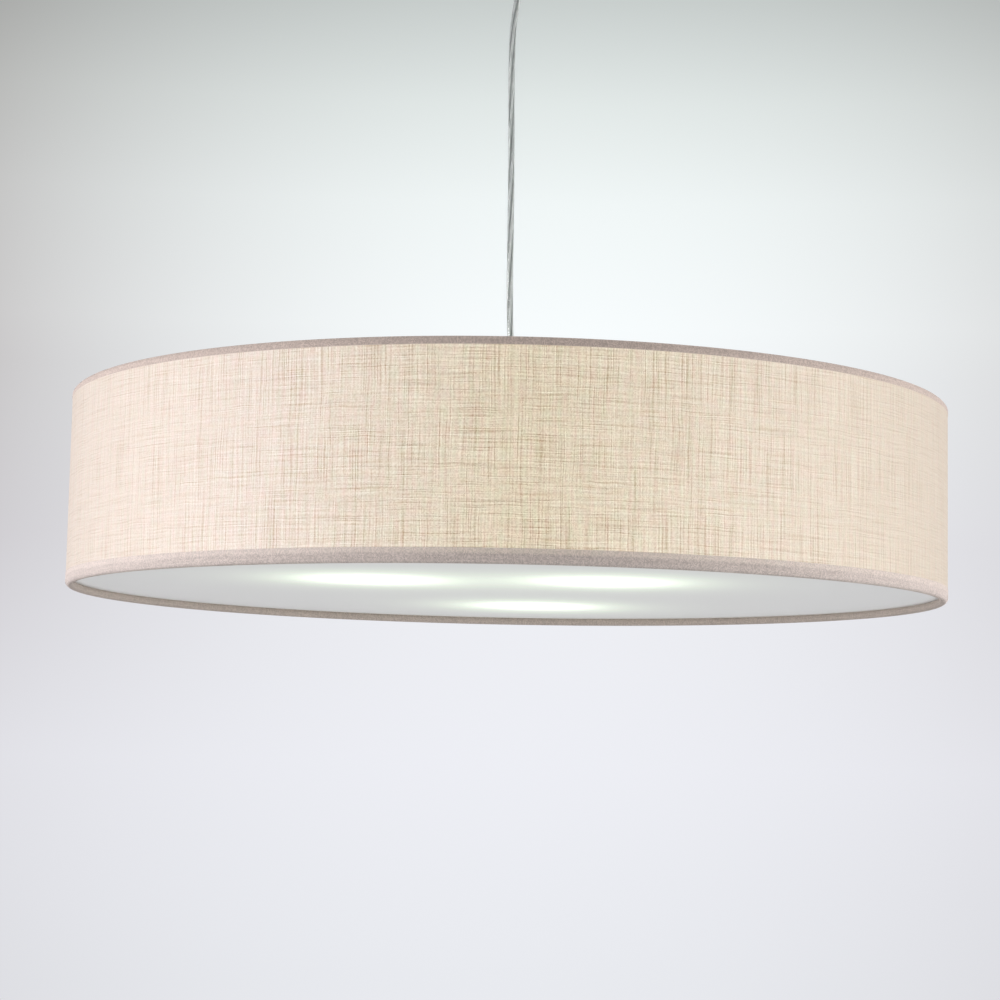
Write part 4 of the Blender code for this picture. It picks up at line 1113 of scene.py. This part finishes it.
# Ceiling end.
def make_canopy():
    low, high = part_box("canopy")
    radius, corner = high.x, 0.006
    profile = [
        (TUBE_HOLE, low.z + SHEET_METAL), (TUBE_HOLE, low.z), (radius * 0.30, low.z),
        *arc(radius - corner, low.z + corner, corner, -90, 0, 12),
        *ladder(radius, low.z + corner + 0.002, high.z - 0.001, 0.006), (radius, high.z),
        (radius - SHEET_METAL, high.z),
        *arc(radius - corner, low.z + corner, corner - SHEET_METAL, 0, -90, 12),
    ]
    canopy = lathe("canopy_cup", profile, "enamel", 144)
    half = 0.0025
    slots = []
    for side in (-1, 1):
        start, end = sorted((side * (radius - 0.003), side * (radius + 0.002)))
        slots.append(rod("slot_round", half, start, end, outwards(0, SIDE_SCREW_Z)))
        slots.append(block("slot", (start, -half, SIDE_SCREW_Z), (end, half, high.z + 0.002), "enamel"))
    dress(carve(canopy, *slots), "canopy", "white_metal", "canopy")


def make_side_screw(node, side):
    """A knurled screw through the canopy's side, with a slot across its head."""
    low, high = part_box(node)
    tip, end = sorted((abs(low.x), abs(high.x)))
    shank, knob = 0.0019, 0.0045
    under = end - 0.004
    profile = [
        (0, tip), (shank - 0.0005, tip), *ladder(shank, tip + 0.0004, under - 0.0003, 0.00015),
        (knob - 0.0004, under), *ladder(knob, under + 0.0004, end - 0.0004, 0.0008), (knob - 0.0004, end),
        (0, end),
    ]
    thread = threaded(0.0007, 0.0004, tip + 0.0002, under - 0.003)

    def shape(angle, radius, height):
        if radius > knob - 0.0002:
            return fluted(angle, radius, 30, 0.0003), height
        return thread(angle, radius, height) if radius <= shank else (radius, height)

    place = Matrix.Translation((0, 0, SIDE_SCREW_Z)) @ Matrix.Rotation(side * pi / 2, 4, "Y")
    screw = lathe(node + "_knurled", profile, "zinc", 120, shape, place)
    start, stop = sorted((side * (end - 0.0009), side * (end + 0.001)))
    slot_low, slot_high = SIDE_SCREW_Z - 0.006, SIDE_SCREW_Z + 0.006
    carve(screw, block("slot", (start, -0.0005, slot_low), (stop, 0.0005, slot_high), "zinc"))
    dress(screw, "ceiling_fitting", "plated_steel", node)


def make_ceiling_end():
    make_canopy()
    make_side_screw("canopy_screw_left", -1)
    make_side_screw("canopy_screw_right", 1)
    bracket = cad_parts["ceiling_bracket"]
    bracket.data.materials.clear()
    bracket.data.materials.append(LOOKS["zinc"])
    block_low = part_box("ceiling_terminal_block")[0].z
    make_block("ceiling_terminal_block", "ceiling_fitting", core_ways, block_low, 1)
    make_grip("canopy_grip", "canopy", True)
    make_nut("canopy_grip_nut", "canopy")
    make_cores("core_tail_", True)


# Stage and light.
def make_world():
    """Soft light from all round, a little weaker from below, and a separate backdrop that the camera sees."""
    world = bpy.data.worlds.new("studio")
    bpy.context.scene.world = world
    world.use_nodes = True
    tree = world.node_tree
    tree.nodes.clear()

    def node(kind, *values, **settings):
        made = tree.nodes.new("ShaderNode" + kind)
        for key, value in settings.items():
            setattr(made, key, value)
        for target, value in zip(made.inputs, values):
            if isinstance(value, bpy.types.NodeSocket):
                tree.links.new(value, target)
            else:
                target.default_value = value
        return made.outputs[0]

    def math(operation, *values):
        return node("Math", *values, operation=operation)

    direction = tree.nodes.new("ShaderNodeTexCoord").outputs["Generated"]
    across, along, height = node("SeparateXYZ", direction).node.outputs
    light = node("Background", WORLD_COLOUR, node("MapRange", height, -0.6, 0.4, WORLD_BELOW, WORLD_ABOVE))
    # The backdrop's colour by height: stops from well below the horizon to well above it.
    ramp = node("ValToRGB", node("MapRange", height, -0.5, 0.5, 0.0, 1.0))
    stops = ramp.node.color_ramp.elements
    while len(stops) < len(BACKDROP):
        stops.new(0.5)
    for stop, (level, colour) in zip(stops, BACKDROP):
        stop.position = level + 0.5
        stop.color = rgba(colour)
    # The backdrop darkens to both sides, more so above the horizon, and not beyond the front and the back.
    from_middle = math("SUBTRACT", across, node("MapRange", height, -0.05, 0.10, 0.0, 0.025))
    away = math("MULTIPLY", from_middle, from_middle)
    steep = node("MapRange", height, 0.0, 0.16, 2.6, 7.0)
    front = node("MapRange", math("ABSOLUTE", along), 0.5, 0.9, 0.0, 1.0)
    fall = math("MINIMUM", math("MULTIPLY", math("MULTIPLY", away, steep), front), 0.42)
    shade = node("VectorMath", tuple(-part for part in BACKDROP_FALL), operation="SCALE")
    tree.links.new(fall, shade.node.inputs["Scale"])
    kept = node("VectorMath", shade, (1.0, 1.0, 1.0), operation="ADD")
    shown = node("Background", node("VectorMath", ramp, kept, operation="MULTIPLY"), 1.0)
    path = tree.nodes.new("ShaderNodeLightPath").outputs
    mirrored = math("MAXIMUM", path["Is Glossy Ray"], path["Is Transmission Ray"])
    both = node("MixShader", math("MAXIMUM", path["Is Camera Ray"], mirrored), light, shown)
    out = tree.nodes.new("ShaderNodeOutputWorld")
    tree.links.new(both, out.inputs["Surface"])


def make_floor():
    """A pale round floor well below the lamp, which fades out at its edge and is clear from below."""
    steps = 96
    rim = [level_point(360 * i / steps, FLOOR_RADIUS, FLOOR_Z) for i in range(steps)]
    faces = [(0, i + 1, (i + 1) % steps + 1) for i in range(steps)]
    look = Look("pale_floor", Roughness=0.8)
    look.paint(look.noise(0.4), (0.80, 0.81, 0.83), (0.82, 0.83, 0.85))
    fade = look.ramp(look.level_reach(), 2.5, 5.8, 1.0, 0.0)
    back = look.add("NewGeometry").outputs["Backfacing"]
    look.into("Alpha", look.times(fade, look.math("SUBTRACT", 1.0, back)))
    mesh = bpy.data.meshes.new("floor")
    mesh.from_pydata([(0, 0, FLOOR_Z), *rim], [], faces)
    mesh.materials.append(look.material)
    floor = link(bpy.data.objects.new("floor", mesh))


def make_light(name, place, size, power, colour):
    """A soft square lamp turned to the drum's middle."""
    data = bpy.data.lights.new(name, "AREA")
    data.shape = "SQUARE"
    data.size = size
    data.energy = power
    data.color = colour
    lamp = link(bpy.data.objects.new(name, data))
    lamp.location = place
    lamp.rotation_euler = (Vector((0, 0, -0.54)) - Vector(place)).to_track_quat("-Z", "Y").to_euler()


def make_stage():
    make_world()
    make_floor()
    make_light("soft_left", (-2.30, -0.80, -0.45), 1.2, 41, (0.99, 0.97, 1.0))
    make_light("soft_right", (3.0, -0.55, -0.45), 1.4, 58, (1.0, 0.985, 0.985))
    make_light("soft_above", (0.6, 1.2, 2.2), 2.0, 20, (1.0, 1.0, 1.0))
    bpy.context.scene.view_settings.view_transform = "Standard"


LOOKS = make_looks()
make_camera()
make_cord()
make_shade()
make_diffuser()
make_spider()
make_stem()
for nut_node in ("spider_nut_upper", "spider_nut_lower", "body_nut_upper", "body_nut_lower"):
    make_nut(nut_node, "shade")
make_grip("hub_grip", "shade", False)
make_body()
block_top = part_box("body_terminal_block")[1].z
core_ways = wire_ways([angle for angle, _, _ in LOOSE_CORES], CORE_REACH_AT_BLOCK, CORE_WAY)
lead_ways = wire_ways(LAMP_AZIMUTHS, LEAD_REACH, LEAD_WAY)
make_block("body_terminal_block", "shade", core_ways + lead_ways, block_top, -1)
make_cores("body_core_", False)
make_lamp_arms(block_top)
make_ceiling_end()
make_stage()
